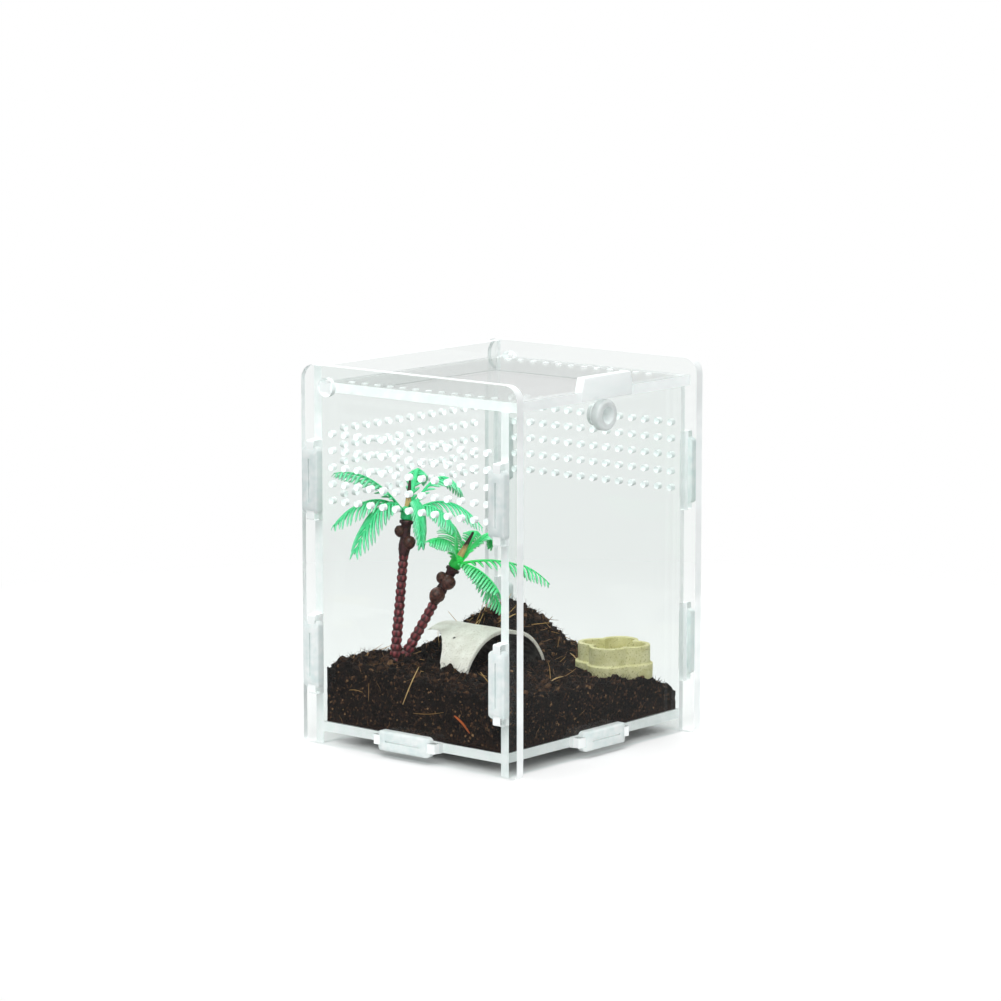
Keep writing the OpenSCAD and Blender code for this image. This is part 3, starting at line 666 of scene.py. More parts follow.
def rough(x, y, size, seed):
    return uneven(Vector((x / size, y / size, seed)))


def lobe_distance(x, y):
    """Distance outside the dish's lobed wall, negative inside it."""
    near = []
    for lobe in range(4):
        angle = radians(DISH_TURN + 90 * lobe)
        near.append(hypot(x - DISH_X - LOBE_OFFSET * cos(angle),
                               y - DISH_Y - LOBE_OFFSET * sin(angle)))
    return min(near) - LOBE_RADIUS


def step_between(value, low, high):
    share = min(max((value - low) / (high - low), 0), 1)
    return share * share * (3 - 2 * share)


def ground(x, y):
    level = 20 + y / 20 - x / 20
    level += 14 * bell(x, y, *MOUND) + 2.5 * bell(x, y, *PALM_RISE)
    level -= 3.5 * bell(x, y, *CORNER_DIP)
    level += (sin(2 * pi * (x + y / 2) / CLOD_PITCH)
              * sin(2 * pi * (y - x / 3) / CLOD_PITCH))
    level += (0.6 * rough(x, y, 8, 1.3) + 1.1 * rough(x, y, 3.4, 5.1)
              + 0.45 * rough(x, y, 1.1, 9.7))
    under_dish = step_between(-lobe_distance(x, y), 0.3, 1.3)
    return level + (DISH_GROUND - level) * under_dish


def in_hide(x, y, z, grow):
    """True inside the arch that the hide's shell wraps, grown by some millimetres."""
    return (hypot(x, z - HIDE_BASE) < HIDE_RADIUS + grow
            and HIDE_FRONT - grow < y < HIDE_FRONT + HIDE_LENGTH + grow)


print("ground at the palm:", round(ground(*PALM_RISE[:2]), 1), "mm, on the mound:",
      round(ground(*MOUND[:2]), 1), "mm")

# %% [markdown]
# The bed is a closed block: a fine grid on top, walls that are pressed almost flat against the
# sheets, and a flat base. The room inside the hide is then cut out with a Boolean modifier,
# because soil lies on top of the arch and on the ground inside it at the same place.

# %% Soil bed
COLUMNS, ROWS, COURSES = 150, 128, 14
grid = [[Vector((x, y, ground(x, y))) for y in np.linspace(SOIL_FRONT, SOIL_BACK, ROWS + 1)]
        for x in np.linspace(-SOIL_X, SOIL_X, COLUMNS + 1)]
shape = bmesh.new()
top = [ring_of(shape, [point * MM for point in column]) for column in grid]
for i in range(COLUMNS):
    for j in range(ROWS):
        shape.faces.new((top[i][j], top[i + 1][j], top[i + 1][j + 1], top[i][j + 1]))
rim = ([column[0] for column in top] + top[-1][1:]
       + [column[-1] for column in reversed(top[:-1])] + list(reversed(top[0][1:-1])))


def pressed(corner, share):
    """A point of the wall under a rim vertex: soil that the sheet has squeezed flat."""
    x, y, z = corner.co / MM
    z = SOIL_FLOOR + (z - SOIL_FLOOR) * share
    hollow = 0.28 * max(uneven(Vector((x / 3, y / 3, z / 2.2))), -0.2)
    inwards = hollow * sin(pi * share) ** 0.5 if share > 0 else 0
    if abs(abs(x) - SOIL_X) < 0.01:
        x -= copysign(inwards, x)
    if min(abs(y - SOIL_FRONT), abs(y - SOIL_BACK)) < 0.01:
        y -= copysign(inwards, y)
    return Vector((x, y, z)) * MM


course = rim
for step in range(COURSES - 1, -1, -1):
    lower = ring_of(shape, [pressed(corner, step / COURSES) for corner in rim])
    for k in range(len(rim)):
        after = (k + 1) % len(rim)
        shape.faces.new((course[k], lower[k], lower[after], course[after]))
    course = lower
shape.faces.new(list(reversed(course)))
soil_ground = put("soil_ground", as_mesh("soil_ground", shape))

ARC, FLAT = 40, 24
sections = []
for y in np.linspace(HIDE_FRONT - 0.02, HIDE_FRONT + HIDE_LENGTH + 0.02, 19):
    radius = HIDE_RADIUS - 0.5
    start = asin((CAVE_GROUND - HIDE_BASE) / radius)
    arc = [start + (pi - 2 * start) * k / ARC for k in range(ARC + 1)]
    line = [Vector((radius * cos(a), y, HIDE_BASE + radius * sin(a))) for a in arc]
    wide = radius * cos(start)
    for k in range(1, FLAT):
        x = -wide + 2 * wide * k / FLAT
        line.append(Vector((x, y, CAVE_GROUND + 0.5 * rough(x, y, 4, 3.3))))
    sections.append([point * MM for point in line])
hide_room = put("hide_room", swept("hide_room", sections))
dig = soil_ground.modifiers.new("dig", "BOOLEAN")
dig.operation, dig.solver, dig.object = "DIFFERENCE", "EXACT", hide_room
plain(soil_ground)
discard(hide_room)
soil_ground.data.shade_smooth()
tell(soil_ground)

# %% [markdown]
# Coconut fibre soil is dark and damp, and its ground is painted darker still, near black, as
# painted shade in the gaps between the loose bits. Its colour changes from clod to clod, small pale
# bits show in it, and its surface is rough at every size. Near the floor it is dustier and paler.
# The loose bits have finishes with a ramp each, from their darkest to their palest.

# %% Soil finishes
finish = Finish("coir_soil")
clod = finish.grain(1.9, 5, rough=0.75)
bit = finish.grain(0.5, 3, rough=0.6)
damp = finish.grain(14, 2)
level = finish.height_of(finish.place) / MM
dusty = (1 - (level + damp * 5).over(9.5, 13)) * 0.6
# Near-black ground: the soil's own dark colour, deepened as painted shade for the gaps between
# crumbs.
soil_tint = finish.ramp(clod * 0.75 + damp * 0.25, (0.38, 5, 3, 3), (0.52, 21, 13, 9),
                        (0.68, 48, 31, 22))
soil_tint = finish.blend(dusty, soil_tint, colour(56, 36, 27))
soil_tint = finish.blend(bit.over(0.68, 0.76) * 0.8, soil_tint, colour(112, 80, 54))
coir_soil = finish.show(finish.shade(soil_tint, roughness=0.85 + bit * 0.15,
                                     specular_ior_level=0.2,
                                     normal=finish.bump(clod * 0.6 + bit * 0.4, 0.9)))
wear(soil_ground.data, coir_soil)


def tinted(name, slow, roughness, relief, *stops):
    """A finish whose colour is read off a ramp with the piece's own shade attribute."""
    finish = Finish(name)
    patch = finish.grain(slow, 3)
    tint = finish.ramp(finish.attribute("shade") * 0.85 + patch * 0.3 - 0.07, *stops)
    return finish.show(finish.shade(tint, roughness=roughness + patch * 0.15,
                                    specular_ior_level=0.25,
                                    normal=finish.bump(patch, relief, 0.8)))


crumb_brown = tinted("crumb_brown", 0.8, 0.8, 0.15, (0, 5, 3, 2), (0.45, 19, 11, 8),
                     (0.76, 44, 28, 19), (0.9, 84, 58, 38), (0.98, 158, 122, 84))
fibre_brown = tinted("fibre_brown", 1.5, 0.6, 0.05, (0, 20, 11, 7), (0.5, 50, 31, 20),
                     (0.84, 104, 72, 42), (0.97, 190, 150, 104))
fibre_dark = tinted("fibre_dark", 1.5, 0.7, 0.05, (0, 7, 4, 3), (0.6, 26, 16, 11),
                    (1, 74, 49, 30))
straw_gold = tinted("straw_gold", 2.0, 0.5, 0.05, (0, 120, 82, 38), (0.6, 178, 138, 78),
                    (1, 224, 192, 130))
bark_red = tinted("bark_red", 1.0, 0.6, 0.1, (0, 120, 48, 18), (1, 206, 104, 48))
print("soil finishes:", coir_soil.name, crumb_brown.name, fibre_brown.name, fibre_dark.name,
      straw_gold.name, bark_red.name)

# %% [markdown]
# Crumbs and fibres are strewn by Geometry Nodes. A crumb is a lump of twenty faces, and a fibre
# is a thin bent strand. A few shapes of each, picked and turned at random, look like thousands.

# %% Shapes to strew
dice = random.Random(11)
shelf = bpy.data.collections.new("shelf")
bpy.context.scene.collection.children.link(shelf)


def shelve(name, meshes):
    group = bpy.data.collections.new(name)
    shelf.children.link(group)
    for k, mesh in enumerate(meshes):
        group.objects.link(bpy.data.objects.new(f"{name}_{k}", mesh))
    return group


def lump(name):
    shape = bmesh.new()
    bmesh.ops.create_icosphere(shape, subdivisions=1, radius=1.0)
    for vertex in shape.verts:
        vertex.co *= dice.uniform(0.62, 1.12)
    return as_mesh(name, shape, rounded=False)


def strand(name, bend, half_width=0.012, joints=7):
    """One unit long along X, with three sides, bent at random and pointed at its ends."""
    place, heading, rise = Vector((-0.5, 0, 0)), 0.0, 0.0
    rings = []
    for k in range(joints + 1):
        wide = half_width * (0.35 + 0.65 * sin(pi * (k + 0.5) / (joints + 1)))
        side = Vector((-sin(heading), cos(heading), 0)) * wide
        rings.append((place + side, place - side, place + UP * 1.6 * wide))
        heading += dice.uniform(-bend, bend)
        rise += dice.uniform(-bend, bend) * 0.5
        place = place + Vector((cos(heading), sin(heading), rise)) / joints
    return swept(name, rings, rounded=False)


crumbs = shelve("crumbs", [lump(f"crumb_{k}") for k in range(5)])
fibres = shelve("fibres", [strand(f"fibre_{k}", 0.42) for k in range(6)])
straws = shelve("straws", [strand(f"straw_{k}", 0.13, 0.009) for k in range(4)])

# %% [markdown]
# The strewing surfaces are plain meshes that are used once and thrown away: the open top of the
# bed with the ground in the cave, and its four walls. Faces under the dish, inside the hide's
# shell or close to a sheet are left out, so that nothing pokes through. Fine crumbs come closer
# to the sheets than long fibres. A mound value on each point lets straw gather on the mound.

# %% Surfaces to strew on
STRAW_HEAP, PALM_STRAW = (20, 15, 13, 12), (-24, 22, 8, 7)


def surface(name, quads):
    mesh = bpy.data.meshes.new(name)
    corners = [point for quad in quads for point in quad]
    mesh.from_pydata([point * MM for point in corners], [],
                     [tuple(range(4 * k, 4 * k + 4)) for k in range(len(quads))])
    write(mesh, "mound", [bell(x, y, *STRAW_HEAP) + 0.6 * bell(x, y, *PALM_STRAW)
                          for x, y, z in corners])
    return put(name, mesh)


def open_ground(edge_room=1.5):
    quads = []
    for i in range(COLUMNS):
        for j in range(ROWS):
            quad = [grid[i][j], grid[i + 1][j], grid[i + 1][j + 1], grid[i][j + 1]]
            at = sum(quad, Vector()) / 4
            if abs(at.x) > SOIL_X - edge_room or in_hide(*at, 0.5):
                continue
            if not SOIL_FRONT + edge_room < at.y < SOIL_BACK - edge_room:
                continue
            if lobe_distance(at.x, at.y) > 1.6:
                quads.append(quad)
    for i in range(14):
        for j in range(8):
            x, y = -14.5 + 29 * i / 14, HIDE_FRONT + 1 + 18.4 * j / 8
            quads.append([Vector((x + dx, y + dy, CAVE_GROUND + 0.1))
                          for dx, dy in ((0, 0), (2, 0), (2, 2), (0, 2))])
    return surface("open_ground", quads)


def squeezed_walls(strips=60):
    quads = []
    for axis, wall, backwards in ((X, SOIL_X, False), (X, -SOIL_X, True),
                                  (Y, SOIL_BACK, True), (Y, SOIL_FRONT, False)):
        low, high = (SOIL_FRONT, SOIL_BACK) if axis == X else (-SOIL_X, SOIL_X)
        marks = [low + 1 + (high - low - 2) * k / strips for k in range(strips + 1)]
        line = [(wall, mark) if axis == X else (mark, wall) for mark in marks]
        for ends in zip(line, line[1:]):
            near, far = reversed(ends) if backwards else ends
            quads.append([Vector((*near, SOIL_FLOOR + 0.9)), Vector((*far, SOIL_FLOOR + 0.9)),
                          Vector((*far, ground(*far) - 0.6)),
                          Vector((*near, ground(*near) - 0.6))])
    return surface("squeezed_walls", quads)


print("the bed is", 2 * SOIL_X, "mm wide and", round(SOIL_BACK - SOIL_FRONT, 1), "mm deep")

# %% [markdown]
# One recipe strews them all. It scatters points, leans and turns a shape on each, and gives each
# shape a shade. Its densities count per square millimetre, and its sizes are in millimetres.

# %% Strewing
strew = Recipe("strewn", Shapes=crumbs, Density=1.0, Smallest=1.0, Largest=2.0, Flatness=1.0,
               Tilt=3.14, Gather=0.0, Seed=1)
asked = strew.inputs
thick = asked["Density"] * (1 - asked["Gather"] + asked["Gather"] * strew.named("mound", "FLOAT"))
scattered = strew.add("GeometryNodeDistributePointsOnFaces", None,
                      {"Mesh": asked["Geometry"], "Density": thick, "Seed": asked["Seed"]},
                      out="Points")
lying = Reading(strew, scattered.socket.node.outputs["Rotation"])
lean = strew.add("ShaderNodeCombineXYZ", None, {
    "X": strew.chance(-1.0, 1.0, asked["Seed"]) * asked["Tilt"],
    "Y": strew.chance(-1.0, 1.0, asked["Seed"] + 5) * asked["Tilt"],
    "Z": strew.chance(-3.14, 3.14, asked["Seed"] + 9)})
lean_turn = strew.add("FunctionNodeEulerToRotation", None, {"Euler": lean})
spun = strew.add("FunctionNodeRotateRotation", {"rotation_space": "LOCAL"},
                 {"Rotation": lying, "Rotate By": lean_turn})
size = strew.chance(asked["Smallest"], asked["Largest"], asked["Seed"] + 2)
scale = strew.add("ShaderNodeCombineXYZ", None,
                  {"X": size, "Y": size, "Z": size * asked["Flatness"]})
shapes = strew.add("GeometryNodeCollectionInfo", None,
                   {"Collection": asked["Shapes"], "Separate Children": True,
                    "Reset Children": True}, out="Instances")
strewn = strew.instances(shapes, spun, **{"Points": scattered, "Pick Instance": True,
                                          "Scale": scale})
shaded = strew.add("GeometryNodeStoreNamedAttribute",
                   {"data_type": "FLOAT", "domain": "INSTANCE"},
                   {"Geometry": strewn, "Name": "shade",
                    "Value": strew.chance(0.0, 1.0, asked["Seed"] + 7)})
strew.done(shaded, crumb_brown)


strewn_rows = {
    "fine_crumbs": (open_ground(0.4), crumb_brown, crumbs, 1.25, (0.28, 0.85), 3, {}),
    "clods": (open_ground(), crumb_brown, crumbs, 0.16, (0.8, 1.6), 21, {}),
    "wall_crumbs": (squeezed_walls(), crumb_brown, crumbs, 2.7, (0.18, 0.55), 31,
                    {"Flatness": 0.5, "Tilt": 0.3}),
    "wall_fibres": (squeezed_walls(), fibre_brown, fibres, 0.5, (1.0, 3.6), 63, {"Tilt": 0.05}),
    "soil_fibres": (open_ground(), fibre_brown, fibres, 0.85, (1.8, 5.5), 41, {"Tilt": 0.7}),
    "mound_straw": (open_ground(), straw_gold, straws, 0.05, (6.0, 15.0), 57,
                    {"Tilt": 0.2, "Gather": 0.95}),
    "dark_fibres": (open_ground(), fibre_dark, fibres, 1.1, (1.8, 4.6), 71,
                    {"Tilt": 1.3, "Gather": 0.3}),
}
PER_MM2 = 1e6
for name, (base, material, group, density, (least, most), seed, more) in strewn_rows.items():
    base.name = name
    thing = strew.make(base, Shapes=group, Density=density * PER_MM2, Smallest=least * MM,
                       Largest=most * MM, Seed=seed, **more)
    wear(thing.data, material)
    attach(thing, "case")
    tell(thing)

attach(soil_ground, "case")
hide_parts("soil_bed")

# %% [markdown]
# A few pale straws and one chip of reddish bark stand out from the soil. They are laid one by one,
# each from one end to the other in a shallow bow, pressed against the sheets or on the ground.

# %% Laid straws
WALL_X, JOINTS = -38.4, 8


def laid(shape, start, end, half_width, bow):
    """A tapered strand with five sides from start to end in millimetres. Away from the left
    sheet it is lifted or lowered until it rests on the ground."""
    start, end = Vector(start), Vector(end)
    forward = (end - start).normalized()
    flank = forward.orthogonal().normalized()
    rings = []
    lift = 0
    if start.x > WALL_X:
        steps = [start.lerp(end, k / JOINTS) for k in range(JOINTS + 1)]
        lift = max(ground(at.x, at.y) + half_width - at.z for at in steps)
    for k in range(JOINTS + 1):
        t = k / JOINTS
        centre = start.lerp(end, t) + Vector((0, 0, lift + bow * sin(pi * t)))
        wide = half_width * (0.4 + 0.6 * sin(pi * (0.1 + 0.85 * t)))
        turn = [Matrix.Rotation(2 * pi * a / 5, 3, forward) @ flank for a in range(5)]
        rings.append(ring_of(shape, [(centre + way * wide) * MM for way in turn]))
    skin(shape, rings)


def laid_piece(name, rows, material, shades):
    shape = bmesh.new()
    counts = []
    for row in rows:
        laid(shape, *row)
        counts.append(len(shape.verts))
    mesh = as_mesh(name, shape)
    write(mesh, "shade", [shades[sum(index >= count for count in counts)]
                          for index in range(len(mesh.vertices))])
    wear(mesh, material)
    thing = put(name, mesh)
    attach(thing, "case")


laid_rows = [
    ((-38.5, 3.7, 15.4), (-38.5, -2.4, 27.0), 0.16, 0.5),
    ((-38.5, 24.2, 16.8), (-38.5, 19.0, 16.9), 0.1, 0.3),
    ((-38.5, -0.2, 13.4), (-38.5, -11.6, 15.2), 0.08, -0.4),
    ((-38.5, 16.6, 19.8), (-38.5, 16.7, 14.6), 0.08, 0),
    ((-9.3, -23.5, 21.4), (0.8, -20.5, 21.2), 0.18, 0.4),
    ((5.5, 17.4, 29.8), (14.8, 20.0, 32.7), 0.2, 0.2),
    ((14.2, 12.0, 31.4), (21.4, 13.0, 32.6), 0.2, 0.3),
    ((20.3, 10.0, 28.8), (25.6, 5.0, 29.4), 0.14, 0),
    ((26.5, -2.2, 21.6), (22.4, -8.2, 20.8), 0.16, 0.3),
    ((31.8, -8.0, 21.4), (33.0, -10.4, 18.6), 0.14, 0.2),
]
straw_shades = [0.95, 0.5, 0.3, 0.3, 0.9, 0.85, 0.8, 0.7, 0.9, 0.9]
laid_piece("laid_straws", laid_rows, straw_gold, straw_shades)
chip_rows = [((-38.45, -15.5, 14.7), (-38.45, -21.1, 10.5), 0.34, 0.5)]
laid_piece("bark_chip", chip_rows, bark_red, [0.6])
print("laid straws:", len(laid_rows))

# %% [markdown]
# ## The twin palm
# The palm is a moulded toy: two ringed trunks on one foot, three coconuts under each crown, and
# a peg that holds the crown. Each trunk is a stack of knobbly rings, so one ring is modelled and
# Geometry Nodes stack it along the trunk, thinner towards the top.

# %% Trunk sizes
FOOT = Vector((-22.7, 19.6, 21.5))
RING, TRUNK_FOOT, TRUNK_TOP, COCONUT, COLLAR, NECK = 2.0, 1.4, 1.2, 2.0, 1.0, 9.0
palms = {
    "tall": (FOOT + Vector((-0.8, 0.4, 1)), Vector((5.5, 0, 41.5))),
    "short": (FOOT + Vector((0.8, -0.4, 1)), Vector((12.5, -9.5, 27.5))),
}
# Each coconut: direction, depth under the crown's seat and size, in shares of its radius.
nuts = {
    "tall": [(140, 1.6, 0.85), (270, 3.1, 1), (40, 4.2, 0.9)],
    "short": [(140, 1.95, 0.85), (245, 2.1, 1.1), (205, 4.5, 1.2)],
}


def trunk_frame(foot, rise):
    """The trunk's own axes: Z along the trunk, and X away from the lean."""
    tilt = atan2(hypot(rise.x, rise.y), rise.z)
    bearing = atan2(rise.y, rise.x)
    return (Matrix.Translation(foot) @ Matrix.Rotation(bearing, 4, "Z")
            @ Matrix.Rotation(tilt, 4, "Y"))


def crown_frame(foot, rise):
    bearing = atan2(rise.y, rise.x)
    return trunk_frame(foot + rise, rise) @ Matrix.Rotation(-bearing, 4, "Z")


def set_in(mesh, axes, material):
    """A mesh made in millimetres is turned into place, in metres."""
    mesh.transform(Matrix.Scale(MM, 4) @ axes)
    wear(mesh, material)


for name, (foot, rise) in palms.items():
    print(name, "trunk is", round(rise.length, 1), "mm long")


# %% One ring
def turned(name, profile, sides=24, knobs=8, knob_depth=0.0):
    """A mesh turned round Z from (radius, height, knobbliness) rows, closed at both ends."""
    loops = []
    for radius, height, knobbly in profile:
        loop = []
        for k in range(sides):
            angle = 2 * pi * k / sides
            reach = radius * (1 + knob_depth * knobbly * (cos(knobs * angle) - 0.4))
            loop.append((reach * cos(angle), reach * sin(angle), height))
        loops.append(loop)
    return swept(name, loops)


ring_rows = [(0.93, -0.06, 0), (0.97, 0.12, 0.3), (1.1, 0.42, 1), (1.16, 0.62, 1),
             (1.08, 0.86, 0.5), (0.93, 1.02, 0)]
trunk_ring = put("trunk_ring", turned("trunk_ring", ring_rows, 36, 6, 0.12))
# A value on each ring point, 0 in the narrow gaps and 1 on the bulging knobs, places painted
# highlight and painted shade.
write(trunk_ring.data, "ridge", [max(0, min(1, (v.co.xy.length - 0.98) / 0.2))
                                 for v in trunk_ring.data.vertices])
tell(trunk_ring)

# %% [markdown]
# The trunks are dark brown plastic. Their knobs get a painted highlight and the gaps between them
# painted shade, and a value on each point, from the gaps to the knobs, steers the blend. The
# coconuts are mottled. The pegs are straw below and dark above.

# %% Trunk finish
finish = Finish("palm_brown")
mottle = finish.grain(0.9, 3)
# Painted shade in the gaps between the knobs, and a painted highlight on the knobs.
bark = finish.blend((finish.attribute("ridge") + mottle * 0.9 - 0.3).over(0.05, 0.95),
                    colour(40, 12, 16), colour(142, 56, 62))
bark = finish.blend(mottle.over(0.55, 0.75) * 0.4, bark, colour(44, 24, 22))
palm_brown = finish.show(finish.shade(bark, roughness=0.38 + mottle * 0.2,
                                      specular_ior_level=0.6,
                                      normal=finish.bump(mottle, 0.08, 0.7)))

finish = Finish("coconut_brown")
husk = finish.grain(0.7, 4)
husk_tint = finish.blend(husk.over(0.35, 0.7), colour(46, 20, 17), colour(112, 66, 54))
coconut_brown = finish.show(finish.shade(husk_tint, roughness=0.35 + husk * 0.25,
                                         normal=finish.bump(husk, 0.12, 0.8)))

finish = Finish("peg_straw")
grit = finish.grain(0.5, 2)
above_seat = (finish.height_of(finish.place) - finish.attribute("seat")) / MM
peg_tint = finish.blend((above_seat + grit * 2).over(6.5, 8), colour(206, 170, 112),
                        colour(60, 32, 26))
peg_straw = finish.show(finish.shade(peg_tint, roughness=0.5 + grit * 0.2))
print("palm finishes:", palm_brown.name, coconut_brown.name, peg_straw.name)

# %% Stacked rings
stack = Recipe("rings_on_trunk", Ring=trunk_ring, Rings=10, Foot=1.0, Top=1.0)
order = stack.add("GeometryNodeInputIndex")
along = order / (stack.inputs["Rings"] - 1)
girth = stack.inputs["Foot"] + (stack.inputs["Top"] - stack.inputs["Foot"]) * along
ring_scale = stack.add("ShaderNodeCombineXYZ", None, {"X": girth, "Y": girth, "Z": RING * MM})
half_pitch = order % 2.0 * (pi / 6)
ring_spin = stack.add("FunctionNodeAxisAngleToRotation", None,
                      {"Axis": (0, 0, 1), "Angle": half_pitch})
ring_turn = stack.add("FunctionNodeRotateRotation", {"rotation_space": "LOCAL"},
                      {"Rotation": stack.named("turn", "QUATERNION"), "Rotate By": ring_spin})
stack.done(stack.instances(stack.mesh_of("Ring"), ring_turn, Scale=ring_scale), palm_brown)


def ringed_trunk(name, foot, rise):
    axes = trunk_frame(foot, rise)
    count = round((rise.length - COLLAR - NECK) / RING)
    seats = [(axes @ Vector((0, 0, RING * k))) * MM for k in range(count)]
    base = points(name, seats)
    write(base.data, "turn", [axes.to_quaternion()] * count, "QUATERNION")
    print(name, "has", count, "rings")
    return stack.make(base, Rings=count, Foot=TRUNK_FOOT * MM, Top=TRUNK_TOP * MM)


# %% Neck, coconuts, collar and peg
def coconut():
    shape = bmesh.new()
    bmesh.ops.create_icosphere(shape, subdivisions=4, radius=COCONUT)
    for vertex in shape.verts:
        out = vertex.co.normalized()
        dent = 0.05 * uneven(vertex.co * 0.8)
        point_end = 0.16 * max(0, -out.z) ** 6
        ribs = 0.025 * cos(3 * atan2(out.y, out.x)) * hypot(out.x, out.y)
        vertex.co *= 1 + dent + point_end + ribs - 0.06
    return shape


def crown_seat(name, foot, rise):
    """What a trunk carries above its rings: neck, collar and peg, and then the coconuts."""
    axes = trunk_frame(foot, rise)
    length = rise.length
    collar = length - COLLAR
    neck_rows = [(1.25, collar - NECK - 0.8, 0), (1.5, collar - NECK + 0.6, 0.6),
                 (1.7, collar - 0.7 * NECK, 0.8), (1.45, collar - NECK / 2, 0.4),
                 (1.35, collar - 1.5, 0.3), (1.5, collar - 0.2, 0.2), (2.05, collar + 0.15, 0.2),
                 (2.08, length - 0.3, 0.2), (1.9, length - 0.02, 0)]
    neck = turned(name + "_neck", neck_rows, 32, 6, 0.08)
    peg_rows = [(0.98, length - 0.1, 0), (0.98, length + 4, 0), (0.8, length + 6, 0.3),
                (0.55, length + 9, 0.3), (0.34, length + 11.6, 0), (0.16, length + 11.98, 0)]
    peg = turned(name + "_peg", peg_rows, 16, 3, 0.1)
    parts = [(neck, palm_brown), (peg, peg_straw)]
    bearing = degrees(atan2(rise.y, rise.x))
    for k, (direction, depth, share) in enumerate(nuts[name]):
        shape = coconut()
        shape.transform(
            Matrix.Rotation(radians(direction - bearing), 4, "Z")
            @ Matrix.Translation((TRUNK_TOP + COCONUT / 4, 0, length - depth * COCONUT))
            @ Matrix.Scale(share, 4))
        parts.append((as_mesh(f"{name}_nut_{k}", shape), coconut_brown))
    for mesh, finish in parts:
        set_in(mesh, axes, finish)
    write(peg, "seat", [(foot.z + rise.z) * MM] * len(peg.vertices))
    return [mesh for mesh, finish in parts]


def merged(name, meshes):
    """Several meshes as one piece, with their materials and attributes kept."""
    things = [put(f"{name}_{k}", mesh) for k, mesh in enumerate(meshes)]
    bpy.ops.object.select_all(action="DESELECT")
    for thing in things:
        thing.select_set(True)
    bpy.context.view_layer.objects.active = things[0]
    bpy.ops.object.join()
    things[0].name = things[0].data.name = name
    return things[0]


trunk_meshes = []
for name, (foot, rise) in palms.items():
    trunk = ringed_trunk(name + "_rings", foot, rise)
    trunk_meshes += [trunk.data] + crown_seat(name, foot, rise)
    discard(trunk)
foot_rows = [(4.6, 21.55, 0), (5, 21.9, 0), (5, 23, 0), (4.5, 23.45, 0)]
foot_mesh = turned("palm_foot", foot_rows, 48)
set_in(foot_mesh, Matrix.Translation((FOOT.x, FOOT.y, 0)), palm_brown)
discard(trunk_ring)
palm_trunks = merged("palm_trunks", trunk_meshes + [foot_mesh])
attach(palm_trunks, "case")
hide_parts("twin_palm_trunks")
tell(palm_trunks)

# %% [markdown]
# A frond is a feather. A rib arches out from the hub and sags, and narrow leaflets sweep forward
# from it on both sides. The rule is the one that shaped the solids. One leaflet is modelled as a
# drooping finger with a folded middle and a round tip, and Geometry Nodes set it on every rib,
# aimed and stretched by what each point carries. The ribs are tapered tubes. Each frond has a
# bearing in degrees, and a reach, lift and sag in shares of REACH.

# %% Frond rule
HUB_RADIUS, HUB_HEIGHT, REACH, HALF_WIDTH, LEAFLETS = 2.1, 4.0, 19.0, 5.0, 15
SWEEP, DROOP = 4.0, 3.0
fronds = {
    "tall": [(153, 1.16, 1.34, 0.8), (151, 1.08, 0.88, 1.12), (172, 0.91, 0.94, 1.54),
             (27, 0.61, 2.06, 1.6), (331, 0.79, 1.91, 1.56), (312, 1.08, 0.97, 1.08),
             (251, 0.44, 1.22, 1.64), (278, 0.79, 0.71, 0.87)],
    "short": [(311, 1.24, 1.1, 0.76), (263, 1.01, 0.32, 0.38), (285, 0.97, 0.2, 0.5),
              (348, 0.39, 1.87, 1.43), (32, 0.68, 1.37, 0.88), (56, 0.94, 0.62, 0.19),
              (178, 0.73, 0.8, 0.7)],
}


def rib_point(share, lift, sag, u):
    return Vector((HUB_RADIUS / 2 + REACH * share * u, 0,
                   HUB_HEIGHT / 2 + REACH * (lift * u - sag * u * u)))


def leaflet_tip(share, lift, sag, u, side):
    half = HALF_WIDTH * min(share, 1) * (0.25 + 0.75 * sin(pi * u))
    rib = rib_point(share, lift, sag, u + SWEEP * half / HALF_WIDTH / (REACH * share))
    return rib + Vector((0, side * half, -DROOP * half / HALF_WIDTH))


print("leaflets:", 2 * LEAFLETS * sum(len(rows) for rows in fronds.values()))


# %% One leaflet
def leaflet_mesh():
    """One unit long along X, one wide along Y, folded along its middle and drooping."""
    rings, joints = [], 9
    for k in range(joints + 1):
        t = k / joints
        tip_round = sqrt(max(1 - (max(t - 0.78, 0) / 0.22) ** 2, 0.01))
        wide = 0.5 * (0.7 + 0.3 * sin(pi * t)) * tip_round
        droop = 0.1 * sin(pi * t) - 0.05 * t * t
        thick = 0.035 * (1 - 0.5 * t)
        rings.append(((t, wide, droop - 0.03), (t, 0, droop + thick),
                      (t, -wide, droop - 0.03), (t, 0, droop - thick)))
    mesh = swept("one_leaflet", rings)
    write(mesh, "outer", [vertex.co.x for vertex in mesh.vertices])
    return mesh


leaflet = put("one_leaflet", leaflet_mesh())
tell(leaflet)


# %% [markdown]
# The fronds are soft green plastic, deeper near the hub and brighter towards the tips, where a pale
# tint is painted on as a highlight. The colour is blended by how far a point lies along its leaflet
# and how far that sits along the frond.

# %% Frond finish
def frond_finish(name, hub, deep, bright, pale):
    finish = Finish(name)
    outer = finish.attribute("outer")
    far = finish.attribute("far")
    cloudy = finish.grain(5, 2)
    fine = finish.grain(0.6, 2)
    tint = finish.blend((outer * 0.8 + cloudy * 0.5 - 0.15).over(0, 1), deep, bright)
    # Painted highlight: a pale tint on the outer part of each leaflet, broken up by fine noise.
    tint = finish.blend((fine * 0.6 + outer * 0.5).over(0.5, 0.95) * 0.7, tint, pale)
    tint = finish.blend((far * 1.4 + outer * 0.3).over(0, 0.7), hub, tint)
    return finish.show(finish.shade(tint, roughness=0.36 + fine * 0.2,
                                    normal=finish.bump(fine, 0.04, 0.6)))


